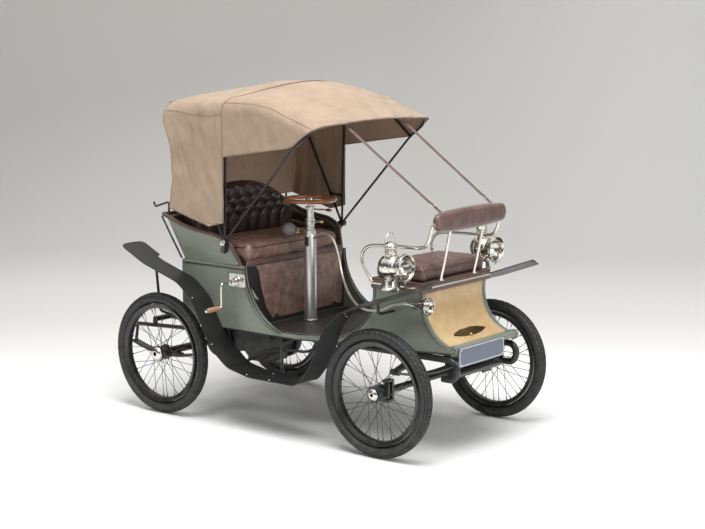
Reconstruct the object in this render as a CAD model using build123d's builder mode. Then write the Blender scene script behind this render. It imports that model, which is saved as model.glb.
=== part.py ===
# Brass era car with two seats that face each other under one folding hood.
# Millimetres. X runs forward, Y to the car's left, Z up. The ground is Z = 0
# and the origin lies half way between the axles.
from build123d import *
from math import cos, pi, radians, sin, tan
import os

os.makedirs("parts", exist_ok=True)

# Running gear
WHEELBASE = 1558.0
TRACK = 1094.0
REAR_TYRE_R = 350.0
FRONT_TYRE_R = 340.0
TYRE_W = 72.0
SPOKES = 36
STUB_R = 10.0
BORE_R = STUB_R + 0.3
AXLE_R = 18.0
ARM_REACH = 90.0
TIE_Z = 300.0
# Frame
TUBE_Y = 283.0
TUBE_R = 18.0
TUBE_Z = 505.0
# Body
WALL = 14.0
TYRE_ROOM = 61.0
BODY_BACK = -700.0
SILL_Z = TUBE_Z + TUBE_R + 0.3
BELT_Z = 885.0
FLARE = 82.0
RECLINE = 78.0
BOX_HALF = 303.0
BOX_TOP = 838.0
VOLUTE_X = 1074.0
VOLUTE_Z = 557.5
VOLUTE_R = 27.0
FLOOR_T = 16.0
# Seats
TRAY_Z = 892.0
SEAT_FRONT_X = -225.0
SEAT_BOARD_Z = 884.0
# Fenders
FENDER_T = 5.0
# Hood
HOOD_T = 8.0
# Steering and crank
COLUMN_X = -105.0
COLUMN_Y = -20.0
CRANK_X = -280.0
CRANK_Z = 805.0
# A space that counts as face to face
SEAT = 0.3

SIDES = (("right", -1.0), ("left", 1.0))
FRONT_X = WHEELBASE / 2
REAR_X = -WHEELBASE / 2
WHEEL_Y = TRACK / 2
FLOOR_Z = SILL_Z + FLOOR_T
# Places across the car that follow the wheels
KINGPIN_Y = WHEEL_Y - 77
SPRING_Y = WHEEL_Y - 127
BODY_HALF = WHEEL_Y - TYRE_W / 2 - TYRE_ROOM
FENDER_IN = BODY_HALF - 30
FENDER_OUT = WHEEL_Y + 53
HOOD_HALF = BODY_HALF + 91


def rod(points, radius, bend=0.0):
    """A round bar through the points, its corners rounded to the bend."""
    with BuildPart() as made:
        with BuildLine() as path:
            if bend > 0:
                FilletPolyline(*points, radius=bend)
            else:
                Polyline(*points)
        with BuildSketch(Plane(origin=path.line @ 0, z_dir=path.line % 0)):
            Circle(radius)
        sweep(path=path.line, transition=Transition.ROUND)
    return made.part


def slab_y(outline, y0, y1):
    """The side-view outline (x, z) as a solid from y0 to y1."""
    with BuildPart() as made:
        with BuildSketch(Plane.XZ.offset(-y1)):
            Polygon(*outline, align=None)
        extrude(amount=abs(y1 - y0))
    return made.part


def block(x0, x1, y0, y1, z0, z1, edge=0.0):
    """A box between the stated faces, its edges rounded if edge is given."""
    with BuildPart(Location(((x0 + x1) / 2, (y0 + y1) / 2, (z0 + z1) / 2))) as made:
        Box(abs(x1 - x0), abs(y1 - y0), abs(z1 - z0))
        if edge > 0:
            fillet(made.edges(), edge)
    return made.part


def disc_y(x, z, y0, y1, radius):
    """A cylinder along Y between y0 and y1."""
    with BuildPart(Location((x, (y0 + y1) / 2, z), (90, 0, 0))) as made:
        Cylinder(radius, abs(y1 - y0))
    return made.part


def disc_z(x, y, z0, z1, radius):
    """An upright cylinder between z0 and z1."""
    with BuildPart(Location((x, y, (z0 + z1) / 2))) as made:
        Cylinder(radius, z1 - z0)
    return made.part


def save(piece, name):
    """Labels the piece and writes it out."""
    piece.label = name
    export_step(piece, f"parts/{name}.step")


# Frame: two tubes that curl down at the front, with cross tubes between them.
# Rows: station along X of each cross tube, its half length.
CROSS_TUBES = (
    (-960.0, SPRING_Y),
    (-300.0, 283.0),
    (300.0, 283.0),
    (FRONT_X, 283.0),
)
with BuildPart() as frame:
    for side, s in SIDES:
        add(rod([(-980, s * TUBE_Y, TUBE_Z), (1092, s * TUBE_Y, TUBE_Z),
                 (1092, s * TUBE_Y, 402), (1003, s * TUBE_Y, 402)], TUBE_R, 48))
    for x, half in CROSS_TUBES:
        add(rod([(x, -half, TUBE_Z), (x, half, TUBE_Z)], TUBE_R - 2))
    for side, s in SIDES:
        y = s * SPRING_Y
        add(rod([(-1112, y, 462), (-960, y, 470), (-560, y, 490)], 12, 60))
        add(rod([(-960, y, 470), (-960, y, TUBE_Z)], 12))
        add(rod([(-600, y, 488), (-600, s * TUBE_Y, 500)], 12))
save(frame.part, "frame")

# Front axle with a yoke at each end for the kingpin.
with BuildPart() as front_axle:
    reach = KINGPIN_Y - 30
    add(rod([(FRONT_X, -reach, 340), (FRONT_X, reach, 340)], AXLE_R))
    for side, s in SIDES:
        add(block(FRONT_X - 18, FRONT_X + 18, s * (KINGPIN_Y - 42), s * (KINGPIN_Y - 26),
                  281, 399))
        for z in (281, 387):
            add(block(FRONT_X - 18, FRONT_X + 18, s * (KINGPIN_Y - 34),
                      s * (KINGPIN_Y + 18), z, z + 12))
    for side, s in SIDES:
        with Locations((FRONT_X, s * KINGPIN_Y, 340)):
            Cylinder(8.6, 200, mode=Mode.SUBTRACT)
save(front_axle.part, "front_axle")


def leaf_y(arch_z, eye_z, thick, width, half):
    """A leaf across the car: an arc from eye to eye through the arch."""
    with BuildPart() as made:
        with BuildSketch(Plane.YZ.offset(FRONT_X - width / 2)):
            with BuildLine():
                top = ThreePointArc((-half, eye_z + thick), (0, arch_z + thick),
                                    (half, eye_z + thick))
                low = ThreePointArc((-half, eye_z), (0, arch_z), (half, eye_z))
                Line(top @ 0, low @ 0)
                Line(top @ 1, low @ 1)
            make_face()
        extrude(amount=width)
    return made.part


# Front spring: two bowed leaves joined at their eyes, from the axle to the frame.
with BuildPart() as front_spring:
    eye_y = KINGPIN_Y - 85
    add(leaf_y(340 + AXLE_R + SEAT, 412, 12, 46, eye_y))
    add(leaf_y(TUBE_Z - TUBE_R + 2 - 12 - SEAT, 424, 12, 46, eye_y))
    for side, s in SIDES:
        with BuildPart(Location((FRONT_X, s * (eye_y + 7), 424), (0, 90, 0))) as eye:
            Cylinder(16, 50)
        add(eye.part)
save(front_spring.part, "front_spring")

# Rear axle: one fixed tube with a gear case round its middle.
with BuildPart() as rear_axle:
    reach = WHEEL_Y - 57
    add(rod([(REAR_X, -reach, 350), (REAR_X, reach, 350)], 22))
    for side, s in SIDES:
        add(disc_y(REAR_X, 350, s * (reach - 4), s * (WHEEL_Y + 47), STUB_R))
save(rear_axle.part, "rear_axle")

with BuildPart() as gear_case:
    add(disc_y(REAR_X, 350, -70, 70, 105))
    add(block(REAR_X + 40, REAR_X + 190, -55, 55, 300, 400))
    with Locations(Location((REAR_X, 0, 350), (90, 0, 0))):
        Cylinder(22 + SEAT, 400, mode=Mode.SUBTRACT)
save(gear_case.part, "gear_case")

# Rear springs: a leaf along each side, hung from the frame at both ends.
with BuildPart() as rear_springs:
    for side, s in SIDES:
        y = s * SPRING_Y
        with BuildPart() as leaf:
            with BuildSketch(Plane.XZ.offset(-y - 22)):
                with BuildLine():
                    low = ThreePointArc((-1130, 352), (REAR_X - 60, 303), (-560, 352))
                    top = ThreePointArc((-1130, 366), (REAR_X - 60, 317), (-560, 366))
                    Line(low @ 0, top @ 0)
                    Line(low @ 1, top @ 1)
                make_face()
            extrude(amount=44)
        add(leaf.part)
        add(block(REAR_X - 28, REAR_X + 28, y - 22, y + 22, 310, 327.7))
        add(rod([(-1120, y, 360), (-1104, y, 458)], 9))
        add(rod([(-566, y, 360), (-566, y, 485)], 9))
    add(frame.part, mode=Mode.SUBTRACT)
save(rear_springs.part, "rear_springs")

# Engine under the back seat: crankcase, flywheel, finned barrel and its bearer on
# the frame's cross tube.
ENGINE_X = -450.0
FINS = 7
with BuildPart() as engine_block:
    add(disc_y(ENGINE_X, 385, -105, 105, 112))
    add(disc_y(ENGINE_X, 385, 100, 122, 60))
    add(disc_y(ENGINE_X, 385, 122, 158, 132))
    add(block(ENGINE_X - 80, ENGINE_X + 80, -90, 90, 262, 330, 8))
    add(disc_z(ENGINE_X, -10, 480, 745, 58))
    for i in range(FINS):
        add(disc_z(ENGINE_X, -10, 540 + 26 * i, 549 + 26 * i, 88))
    add(disc_z(ENGINE_X, -10, 738, 762, 70))
    add(block(ENGINE_X, -316.3, -60, 60, 488, 522))
save(engine_block.part, "engine_block")

# Cross drum between the curled ends of the frame.
with BuildPart() as front_drum:
    add(disc_y(1000, 402, -210, 226, 23))
    add(disc_y(1013, 402, -TUBE_Y + 10, TUBE_Y - 10, 9))
    add(disc_z(1000, 100, 366, 385, 8))
    add(frame.part, mode=Mode.SUBTRACT)
save(front_drum.part, "front_drum")


def wheel_parts(tyre_r, cap_r, cap_end):
    """Tyre and spoked wheel, on the Y axis through the origin, outer side +Y."""
    rim_in = tyre_r - 90
    seat_r = tyre_r - 66
    half = TYRE_W / 2
    with BuildPart() as tyre:
        with BuildSketch(Plane.XY):
            Polygon((seat_r, -20), (tyre_r - 36, -half), (tyre_r - 11, -half * 0.72),
                    (tyre_r, -half * 0.3), (tyre_r, half * 0.3),
                    (tyre_r - 11, half * 0.72), (tyre_r - 36, half), (seat_r, 20),
                    align=None)
        revolve(axis=Axis.Y)
    with BuildPart() as spoked:
        with BuildSketch(Plane.XY):
            Polygon((rim_in, -17), (seat_r - SEAT, -27), (seat_r - SEAT, 27),
                    (rim_in, 17), align=None)
        revolve(axis=Axis.Y)
        with BuildSketch(Plane.XY):
            Polygon((BORE_R, -42), (24, -42), (24, -34), (44, -34), (44, -28), (24, -28),
                    (24, 28), (44, 28), (44, 34), (24, 34), (cap_r, 40),
                    (cap_r, cap_end), (0, cap_end), (0, cap_end - 6),
                    (BORE_R, cap_end - 6), align=None)
        revolve(axis=Axis.Y)
        for i in range(SPOKES):
            turn = 2 * pi * i / SPOKES
            lead = radians(70) if i % 4 < 2 else radians(-70)
            y0 = 31 if i % 2 else -31
            start = Vector(40 * cos(turn + lead), y0, 40 * sin(turn + lead))
            end = Vector((rim_in + 4) * cos(turn), y0 * 0.25, (rim_in + 4) * sin(turn))
            along = Plane(origin=(start + end) * 0.5, z_dir=end - start)
            with Locations(Location(along)):
                Box(3.6, 3.6, (end - start).length)
    return tyre.part, spoked.part


front_tyre, front_spoked = wheel_parts(FRONT_TYRE_R, 32, 52)
rear_tyre, rear_spoked = wheel_parts(REAR_TYRE_R, 41, 59)
# Rows: name, station along X, radius, tyre and spoked wheel.
WHEELS = (
    ("front", FRONT_X, FRONT_TYRE_R, front_tyre, front_spoked),
    ("rear", REAR_X, REAR_TYRE_R, rear_tyre, rear_spoked),
)
for end, x, r, tyre_shape, spoked_shape in WHEELS:
    for side, s in SIDES:
        place = Location((x, s * WHEEL_Y, r), (0, 0, 0 if s > 0 else 180))
        with BuildPart() as tyre:
            add(tyre_shape.moved(place))
        save(tyre.part, f"tyre_{end}_{side}")
        with BuildPart() as wheel:
            add(spoked_shape.moved(place))
        save(wheel.part, f"wheel_{end}_{side}")

# Knuckles: kingpin, stub axle and the arm that takes the tie rod.
for side, s in SIDES:
    with BuildPart() as knuckle:
        add(disc_z(FRONT_X, s * KINGPIN_Y, 300, 380, 17))
        add(disc_z(FRONT_X, s * KINGPIN_Y, 279, 401, 8))
        add(disc_y(FRONT_X, 340, s * KINGPIN_Y, s * (WHEEL_Y + 43), STUB_R))
        add(rod([(FRONT_X, s * KINGPIN_Y, 312), (FRONT_X - ARM_REACH, s * KINGPIN_Y, 312)],
                9))
        add(disc_z(FRONT_X - ARM_REACH, s * KINGPIN_Y, 294, 321, 7))
    save(knuckle.part, f"knuckle_{side}")

# Tie rod between the two arms, with an eye on each pin.
with BuildPart() as tie_rod:
    reach = KINGPIN_Y - 12
    add(rod([(FRONT_X - ARM_REACH, -reach, TIE_Z - 3),
             (FRONT_X - ARM_REACH, reach, TIE_Z - 3)], 8))
    for side, s in SIDES:
        add(disc_z(FRONT_X - ARM_REACH, s * KINGPIN_Y, 290, 302, 16))
        with Locations((FRONT_X - ARM_REACH, s * KINGPIN_Y, 296)):
            Cylinder(7.6, 60, mode=Mode.SUBTRACT)
save(tie_rod.part, "tie_rod")


def plan_wall(outer, thick):
    """Plan outline (x, y) of a wall, for the left side."""
    inner = [(x, y - thick) for x, y in outer]
    return outer + inner[::-1]


# Body sides. The side view gives the outline and the plan view the bend.
SIDE_PLAN = [(BODY_BACK, BODY_HALF), (150, BODY_HALF), (550, BOX_HALF), (1110, 288)]
with BuildPart() as side_view:
    with BuildSketch(Plane.XZ.offset(-700)):
        with BuildLine():
            l1 = Line((BODY_BACK, SILL_Z), (BODY_BACK, BELT_Z))
            l2 = Line(l1 @ 1, (-222, BELT_Z))
            u1 = ThreePointArc(l2 @ 1, (-160, 690), (30, 550))
            l3 = Line(u1 @ 1, (330, 553))
            u2 = ThreePointArc(l3 @ 1, (505, 650), (563, BOX_TOP))
            l4 = Line(u2 @ 1, (885, BOX_TOP))
            f1 = ThreePointArc(l4 @ 1, (912, 675), (1035, 577))
            l5 = Line(f1 @ 1, (1075, 577))
            f2 = ThreePointArc(l5 @ 1, (1096, 557), (1075, 537))
            l6 = Line(f2 @ 1, (835, SILL_Z))
            Line(l6 @ 1, l1 @ 0)
        make_face()
    extrude(amount=1400)
with BuildPart() as body_sides:
    for side, s in SIDES:
        with BuildSketch(Plane.XY.offset(500)):
            Polygon(*[(x, s * y) for x, y in plan_wall(SIDE_PLAN, WALL)], align=None)
        extrude(amount=500)
    add(side_view.part, mode=Mode.INTERSECT)
    for side, s in SIDES:
        add(disc_y(VOLUTE_X, VOLUTE_Z, s * 275, s * 292, VOLUTE_R))
        add(disc_y(VOLUTE_X, VOLUTE_Z, s * 290, s * 296, 9))
save(body_sides.part, "body_sides")

# Back panel between the sides, below the belt.
with BuildPart() as back_panel:
    add(block(BODY_BACK, BODY_BACK + WALL, -BODY_HALF + WALL + SEAT,
              BODY_HALF - WALL - SEAT, SILL_Z, BELT_Z))
save(back_panel.part, "back_panel")

# Floor boards from the seat front to the nose, inside the sides.
FLOOR_PLAN = [(-240, BODY_HALF), (150, BODY_HALF), (550, BOX_HALF), (1030, 290)]
with BuildPart() as floor:
    with BuildSketch(Plane.XY.offset(SILL_Z)):
        left = [(x, y - WALL - SEAT) for x, y in FLOOR_PLAN]
        right = [(x, -y) for x, y in left]
        Polygon(*(left + right[::-1]), align=None)
    extrude(amount=FLOOR_T)
save(floor.part, "floor")

# Seat front panel and seat board of the back seat.
INNER = BODY_HALF - WALL - SEAT
with BuildPart() as seat_box:
    add(block(SEAT_FRONT_X - WALL, SEAT_FRONT_X, -INNER, INNER, FLOOR_Z + SEAT, 870))
    add(block(BODY_BACK + WALL + SEAT, SEAT_FRONT_X, -INNER, INNER, 868, SEAT_BOARD_Z))
save(seat_box.part, "seat_box")
with BuildPart() as seat_apron:
    add(block(SEAT_FRONT_X + SEAT, SEAT_FRONT_X + 5, 80 - BODY_HALF, BODY_HALF - 30,
              566, 867))
save(seat_apron.part, "seat_apron")

# Flared surround of the back seat: sides and back above the belt.
TOP_Z = 1160.0


def surround_solid(inset):
    """The flared box above the belt, its walls moved in by the inset."""
    with BuildPart() as made:
        for z, back, half in ((BELT_Z + SEAT, BODY_BACK, BODY_HALF),
                              (TOP_Z, BODY_BACK - RECLINE, BODY_HALF + FLARE)):
            with BuildSketch(Plane.XY.offset(z)):
                with Locations(((back + inset) / 2 + 100, 0)):
                    RectangleRounded(-back - inset + 200, 2 * (half - inset), 50)
        loft()
    return made.part


with BuildPart() as seat_surround:
    add(surround_solid(0))
    add(surround_solid(WALL), mode=Mode.SUBTRACT)
    add(slab_y([(-900, BELT_Z), (-255, BELT_Z), (-287, 968), (-313, 1016), (-387, 1050),
                (-496, 1066), (-627, 1091), (-778, 1148), (-900, 1148)], -700, 700),
        mode=Mode.INTERSECT)
save(seat_surround.part, "seat_surround")

# Back seat: cushion, buttoned back and arm rolls.
with BuildPart() as rear_cushion:
    add(block(-650, -232, 55 - BODY_HALF, BODY_HALF - 55, SEAT_BOARD_Z + SEAT, 1015, 30))
save(rear_cushion.part, "rear_cushion")
BACK_SIDE = [(-660, SEAT_BOARD_Z + SEAT), (-636, 1310), (-676, 1310), (-696, 1190),
             (-697, 1150), (-685, SEAT_BOARD_Z + SEAT)]
with BuildPart() as rear_backrest:
    with BuildSketch(Plane.YZ.offset(-900)):
        with BuildLine():
            b1 = Line((65 - BODY_HALF, 880), (BODY_HALF - 65, 880))
            b2 = Line(b1 @ 1, (BODY_HALF - 2, 1165))
            b3 = ThreePointArc(b2 @ 1, (0, 1306), (2 - BODY_HALF, 1165))
            Line(b3 @ 1, b1 @ 0)
        make_face()
    extrude(amount=400)
    add(slab_y(BACK_SIDE, -600, 600), mode=Mode.INTERSECT)
save(rear_backrest.part, "rear_backrest")
with BuildPart() as arm_rolls:
    for side, s in SIDES:
        add(rod([(-640, s * BODY_HALF, 1010), (-345, s * (BODY_HALF - 8), 975)], 26))
    add(seat_surround.part, mode=Mode.SUBTRACT)
save(arm_rolls.part, "arm_rolls")

# Front box: curved leather-faced front and a back panel under the seat.
BOX_IN = BOX_HALF - WALL - SEAT
with BuildPart() as front_panel:
    with BuildSketch(Plane.XZ.offset(-280)):
        with BuildLine():
            p1 = ThreePointArc((868, 836), (896, 668), (1026, 562))
            p2 = ThreePointArc((880, 836), (906, 674), (1032, 572))
            Line(p1 @ 0, p2 @ 0)
            Line(p1 @ 1, p2 @ 1)
        make_face()
    extrude(amount=560)
    add(body_sides.part, mode=Mode.SUBTRACT)
save(front_panel.part, "front_panel")
with BuildPart() as box_back:
    with BuildSketch(Plane.XZ.offset(-286)):
        with BuildLine():
            p1 = ThreePointArc((440, FLOOR_Z + SEAT), (520, 650), (566, BOX_TOP - SEAT))
            p2 = ThreePointArc((452, FLOOR_Z + SEAT), (531, 648), (578, BOX_TOP - SEAT))
            Line(p1 @ 0, p2 @ 0)
            Line(p1 @ 1, p2 @ 1)
        make_face()
    extrude(amount=572)
save(box_back.part, "box_back")

# Front seat: tray, cushion, side rails, bar back and its posts.
with BuildPart() as seat_tray:
    add(block(555, 900, -318, 318, BOX_TOP + SEAT, TRAY_Z, 8))
save(seat_tray.part, "seat_tray")
with BuildPart() as front_cushion:
    add(block(562, 882, -296, 296, TRAY_Z + SEAT, 980, 26))
save(front_cushion.part, "front_cushion")
with BuildPart() as seat_rails:
    for side, s in SIDES:
        y = s * 320
        add(rod([(566, y, 876), (492, y, 985), (545, y, 1070), (905, y, 1080),
                 (960, y, 1200)], 9, 30))
    add(seat_tray.part, mode=Mode.SUBTRACT)
save(seat_rails.part, "seat_rails")
with BuildPart() as front_backrest:
    with BuildSketch(Plane.YZ.offset(950)):
        with Locations((0, 1218)):
            RectangleRounded(652, 120, 52)
    extrude(amount=50)
    fillet(front_backrest.edges(), 14)
    for side, s in SIDES:
        add(rod([(898, s * 155, 880), (898, s * 155, 905), (955, s * 155, 1165)], 9, 20))
    add(seat_tray.part, mode=Mode.SUBTRACT)
    add(seat_rails.part, mode=Mode.SUBTRACT)
save(front_backrest.part, "front_backrest")

# Fenders. Rows: x, z of each corner of the centre line and the bend there.
FENDER_PATH = (
    (-1048, 958, 0),
    (-860, 866, 300),
    (-600, 786, 200),
    (-492, 700, 160),
    (-345, 438, 180),
    (-225, 345, 150),
    (-60, 312, 300),
    (270, 312, 70),
    (368, 430, 150),
    (455, 640, 180),
    (560, 752, 160),
    (790, 824, 300),
    (1078, 928, 0),
)


def fender_strip():
    """The fender's side view as a strip, extruded over its width."""
    with BuildPart() as made:
        with BuildSketch(Plane.XZ.offset(-FENDER_OUT)):
            with BuildLine() as path:
                FilletPolyline(*[(x, z) for x, z, r in FENDER_PATH],
                               radius=[r for x, z, r in FENDER_PATH[1:-1]])
                offset(amount=FENDER_T, side=Side.LEFT)
            make_face()
        extrude(amount=FENDER_OUT - FENDER_IN)
    return made.part


with BuildPart() as fender_plan:
    with BuildSketch(Plane.XY.offset(250)):
        with BuildLine():
            tip = (1082, WHEEL_Y - 60)
            o1 = Line((-1030, FENDER_OUT), (830, FENDER_OUT))
            o2 = ThreePointArc(o1 @ 1, (995, WHEEL_Y + 26), tip)
            o3 = ThreePointArc(o2 @ 1, (1000, FENDER_IN + 16), (880, FENDER_IN))
            o4 = Line(o3 @ 1, (-1030, FENDER_IN))
            o5 = ThreePointArc(o4 @ 1, (-1044, FENDER_IN + 12), (-1056, FENDER_IN + 40))
            o6 = Line(o5 @ 1, (-1056, FENDER_OUT - 48))
            ThreePointArc(o6 @ 1, (-1046, FENDER_OUT - 14), o1 @ 0)
        make_face()
    extrude(amount=750)
with BuildPart() as body_keep_out:
    with BuildSketch(Plane.XY.offset(SILL_Z - 4)):
        left = [(x, y + SEAT) for x, y in SIDE_PLAN]
        right = [(x, -y) for x, y in left]
        Polygon(*(left + right[::-1]), align=None)
    extrude(amount=BELT_Z - SILL_Z + 8)
strip = fender_strip() & fender_plan.part
with BuildPart() as fenders:
    add(strip)
    add(mirror(strip, about=Plane.XZ, mode=Mode.PRIVATE))
    add(body_keep_out.part, mode=Mode.SUBTRACT)
save(fenders.part, "fenders")

# Fender stays: a post under each side and one iron to each end.
with BuildPart() as fender_stays:
    for side, s in SIDES:
        y = s * (FENDER_IN + 20)
        add(rod([(38, s * (TUBE_Y + TUBE_R - 2), 500), (38, y, 500), (38, y, 317.5)],
                9, 20))
        add(rod([(700, s * (BOX_HALF + 2), 730), (700, y, 730), (700, y, 795)], 8, 20))
        add(rod([(-930, s * (TUBE_Y + TUBE_R - 2), 510), (-930, s * (SPRING_Y - 15), 560),
                 (-930, y, 898)], 8, 30))
    y = -FENDER_IN - 10
    add(rod([(-222, y, 358.7), (-160, y, 386.7), (-78, y, 424), (40, y, 455), (200, y, 462),
             (262, 4 - TUBE_Y, 495)], 8, 40))
    add(fenders.part, mode=Mode.SUBTRACT)
    add(frame.part, mode=Mode.SUBTRACT)
    add(body_sides.part, mode=Mode.SUBTRACT)
save(fender_stays.part, "fender_stays")

# Steering column on the floor, with its two levers. Rows: foot, top and radius of
# each collar.
COLLARS = (
    (FLOOR_Z + SEAT, 552, 40),
    (1060, 1078, 31),
    (1098, 1128, 28),
    (1174, 1198, 27),
)
with BuildPart() as steering_column:
    add(disc_z(COLUMN_X, COLUMN_Y, FLOOR_Z + SEAT, 1070, 36))
    add(disc_z(COLUMN_X, COLUMN_Y, 1070, 1200, 22))
    for z0, z1, r in COLLARS:
        add(disc_z(COLUMN_X, COLUMN_Y, z0, z1, r))
    add(rod([(COLUMN_X, COLUMN_Y, 1185), (75, -50, 1189)], 5))
    add(rod([(COLUMN_X, COLUMN_Y, 1112), (-5, -40, 1118)], 5))
    with Locations((-5, -40, 1118)):
        Sphere(11)
save(steering_column.part, "steering_column")
with BuildPart() as steering_wheel:
    with BuildSketch(Plane(origin=(COLUMN_X, COLUMN_Y, 1236), x_dir=(1, 0, 0),
                           z_dir=(0, -1, 0))):
        with Locations((140, 0)):
            RegularPolygon(10.4, 8)
    revolve(axis=Axis((COLUMN_X, COLUMN_Y, 1236), (0, 0, 1)))
    with Locations((COLUMN_X, COLUMN_Y, 1236)):
        Cylinder(26, 30)
    for i in range(4):
        a = radians(45 + 90 * i)
        add(rod([(COLUMN_X + 20 * cos(a), COLUMN_Y + 20 * sin(a), 1236),
                 (COLUMN_X + 138 * cos(a), COLUMN_Y + 138 * sin(a), 1236)], 6))
    add(disc_z(COLUMN_X, COLUMN_Y, 1200 + SEAT, 1230, 12))
save(steering_wheel.part, "steering_wheel")

# Starting crank on the right side, its bearing plate fixed to the body.
with BuildPart() as crank_plate:
    add(block(-335, -215, -BODY_HALF - 6, -BODY_HALF - SEAT, 772, 850))
    add(disc_y(CRANK_X, CRANK_Z, -BODY_HALF - 26, -BODY_HALF - 4, 22))
    with Locations(Location((CRANK_X, -BODY_HALF - 20, CRANK_Z), (90, 0, 0))):
        Cylinder(8 + SEAT, 36, mode=Mode.SUBTRACT)
save(crank_plate.part, "crank_plate")
with BuildPart() as crank:
    arm_y = -BODY_HALF - 127
    add(rod([(CRANK_X, -BODY_HALF - 8, CRANK_Z), (CRANK_X, arm_y, CRANK_Z),
             (CRANK_X, arm_y, 672), (CRANK_X, arm_y - 123, 672)], 8, 14))
    add(disc_y(CRANK_X, 672, arm_y - 123, arm_y - 15, 15))
save(crank.part, "crank")

# Horn bulb on the column, horn on the right side and the tube between them.
with BuildPart() as horn_bulb:
    add(rod([(-240, -34, 1055), (COLUMN_X, COLUMN_Y, 1042)], 9))
    with Locations((COLUMN_X, COLUMN_Y, 1040)):
        Cylinder(36 + SEAT, 120, mode=Mode.SUBTRACT)
    with BuildSketch(Plane(origin=(-246, -36, 1057), x_dir=(1, 0, 0),
                           z_dir=(0, -1, 0))):
        Polygon((-36, 0), (-32, 17), (-18, 31), (0, 36), (18, 31), (31, 18), (36, 6),
                (36, 0), align=None)
    revolve(axis=Axis((-246, -36, 1057), (1, 0, 0)))
save(horn_bulb.part, "horn_bulb")
# Rows: station along X and bore radius of the horn's flare.
HORN_FLARE = [(807, 7), (845, 10), (880, 16), (908, 24), (930, 34), (946, 42), (957, 45)]
with BuildPart() as horn:
    with BuildSketch(Plane(origin=(0, -345, 785), x_dir=(1, 0, 0), z_dir=(0, -1, 0))):
        outer = [(x, r + 3) for x, r in HORN_FLARE]
        Polygon(*(outer + HORN_FLARE[::-1]), align=None)
    revolve(axis=Axis((0, -345, 785), (1, 0, 0)))
    add(rod([(900, -304, 760), (850, -345, 766)], 7))
save(horn.part, "horn")
HORN_TUBE_R = 7.0
HORN_ROUTE = (
    (-66, -28, 1022),
    (-16, -36, 1052),
    (40, -44, 1057),
    (90, -51, 1028),
    (122, -56, 968),
    (146, -62, 896),
    (186, -92, 830),
    (256, -150, 785),
    (344, -222, 752),
    (438, -290, 728),
    (536, -330, 714),
    (640, -338, 727),
    (722, -345, 770),
    (805.5, -345, 785),
)


def cord_path(route):
    """The bend at each inner point of a route: 0.45 of the shorter run."""
    points = [Vector(*p) for p in route]
    bends = []
    for a, b, c in zip(points, points[1:], points[2:]):
        turn = radians((b - a).get_angle(c - b))
        bends.append(0.45 * min((b - a).length, (c - b).length) / tan(turn / 2))
    return bends


with BuildPart() as horn_tube:
    bends = cord_path(HORN_ROUTE)
    print("horn tube bends", [round(r) for r in bends])
    with BuildLine() as route:
        FilletPolyline(*HORN_ROUTE, radius=bends)
    tube_length = sum(edge.length for edge in route.edges())
    print("horn tube length", round(tube_length))
    with BuildSketch(Plane(origin=route.line @ 0, z_dir=route.line % 0)):
        Circle(HORN_TUBE_R)
    sweep(path=route.line)
    print("horn tube volume share", round(
        horn_tube.part.volume / (pi * HORN_TUBE_R ** 2 * tube_length), 4))
    with Locations((COLUMN_X, COLUMN_Y, 1022)):
        Cylinder(36, 80, mode=Mode.SUBTRACT)
save(horn_tube.part, "horn_tube")

# Lamps on brackets from the seat tray, over the fenders. Each is turned from two
# profiles: the drum lies along X, the chimney, neck and oil pot stand under each other.
LAMP_DRUM = [(704, 0), (704, 20), (714, 42), (732, 57), (752, 62), (800, 62), (814, 54),
             (828, 54), (846, 66), (856, 74), (871, 74), (871, 66), (852, 58), (846, 0)]
LAMP_TOWER = [(0, 864), (55, 864), (55, 878), (45, 916), (28, 930), (28, 1056), (34, 1062),
              (34, 1074), (28, 1080), (28, 1092), (33, 1096), (33, 1104), (20, 1113),
              (0, 1117)]
LAMP_X = 766.0
LAMP_Y = 423.0
LAMP_Z = 987.0
with BuildPart() as lamps:
    for side, s in SIDES:
        y = s * LAMP_Y
        with BuildSketch(Plane(origin=(0, y, LAMP_Z), x_dir=(1, 0, 0), z_dir=(0, -1, 0))):
            Polygon(*LAMP_DRUM, align=None)
        revolve(axis=Axis((0, y, LAMP_Z), (1, 0, 0)))
        with BuildSketch(Plane(origin=(LAMP_X, y, 0), x_dir=(1, 0, 0), z_dir=(0, -1, 0))):
            Polygon(*LAMP_TOWER, align=None)
        revolve(axis=Axis((LAMP_X, y, 0), (0, 0, 1)))
        add(rod([(757, s * (BOX_HALF + 13), 853), (757, y, 853), (757, y, 870)], 8, 8))
        add(rod([(LAMP_X, y - 50, 1022), (LAMP_X, y - 50, 1165), (LAMP_X, y + 50, 1165),
                 (LAMP_X, y + 50, 1022)], 4, 20))
    add(seat_tray.part, mode=Mode.SUBTRACT)
save(lamps.part, "lamps")

# Height of the hood's rounded shoulders.
SHOULDER = 75.0
# Hood. Rows: station along X, height of the side seam, height at the centre.
HOOD_STATIONS = (
    (-790, 1768, 1800),
    (-676, 1790, 1839),
    (-293, 1820, 1901),
    (-69, 1820, 1905),
    (55, 1800, 1878),
    (400, 1672, 1698),
)
HOOD_SIDE = [(-707, 1193), (-677, 1361), (-690, 1531), (-746, 1675), (-738, 1760),
             (-700, 1960), (300, 1960), (372, 1700), (203, 1579), (-294, 1504),
             (-300, 1140), (-407, 1113)]
HOOD_HOLLOW = [(-699, 1050), (-699, 1193), (-669, 1361), (-682, 1531), (-738, 1675),
               (-730, 1757), (-692, 1960), (500, 1960), (500, 1050)]


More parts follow.
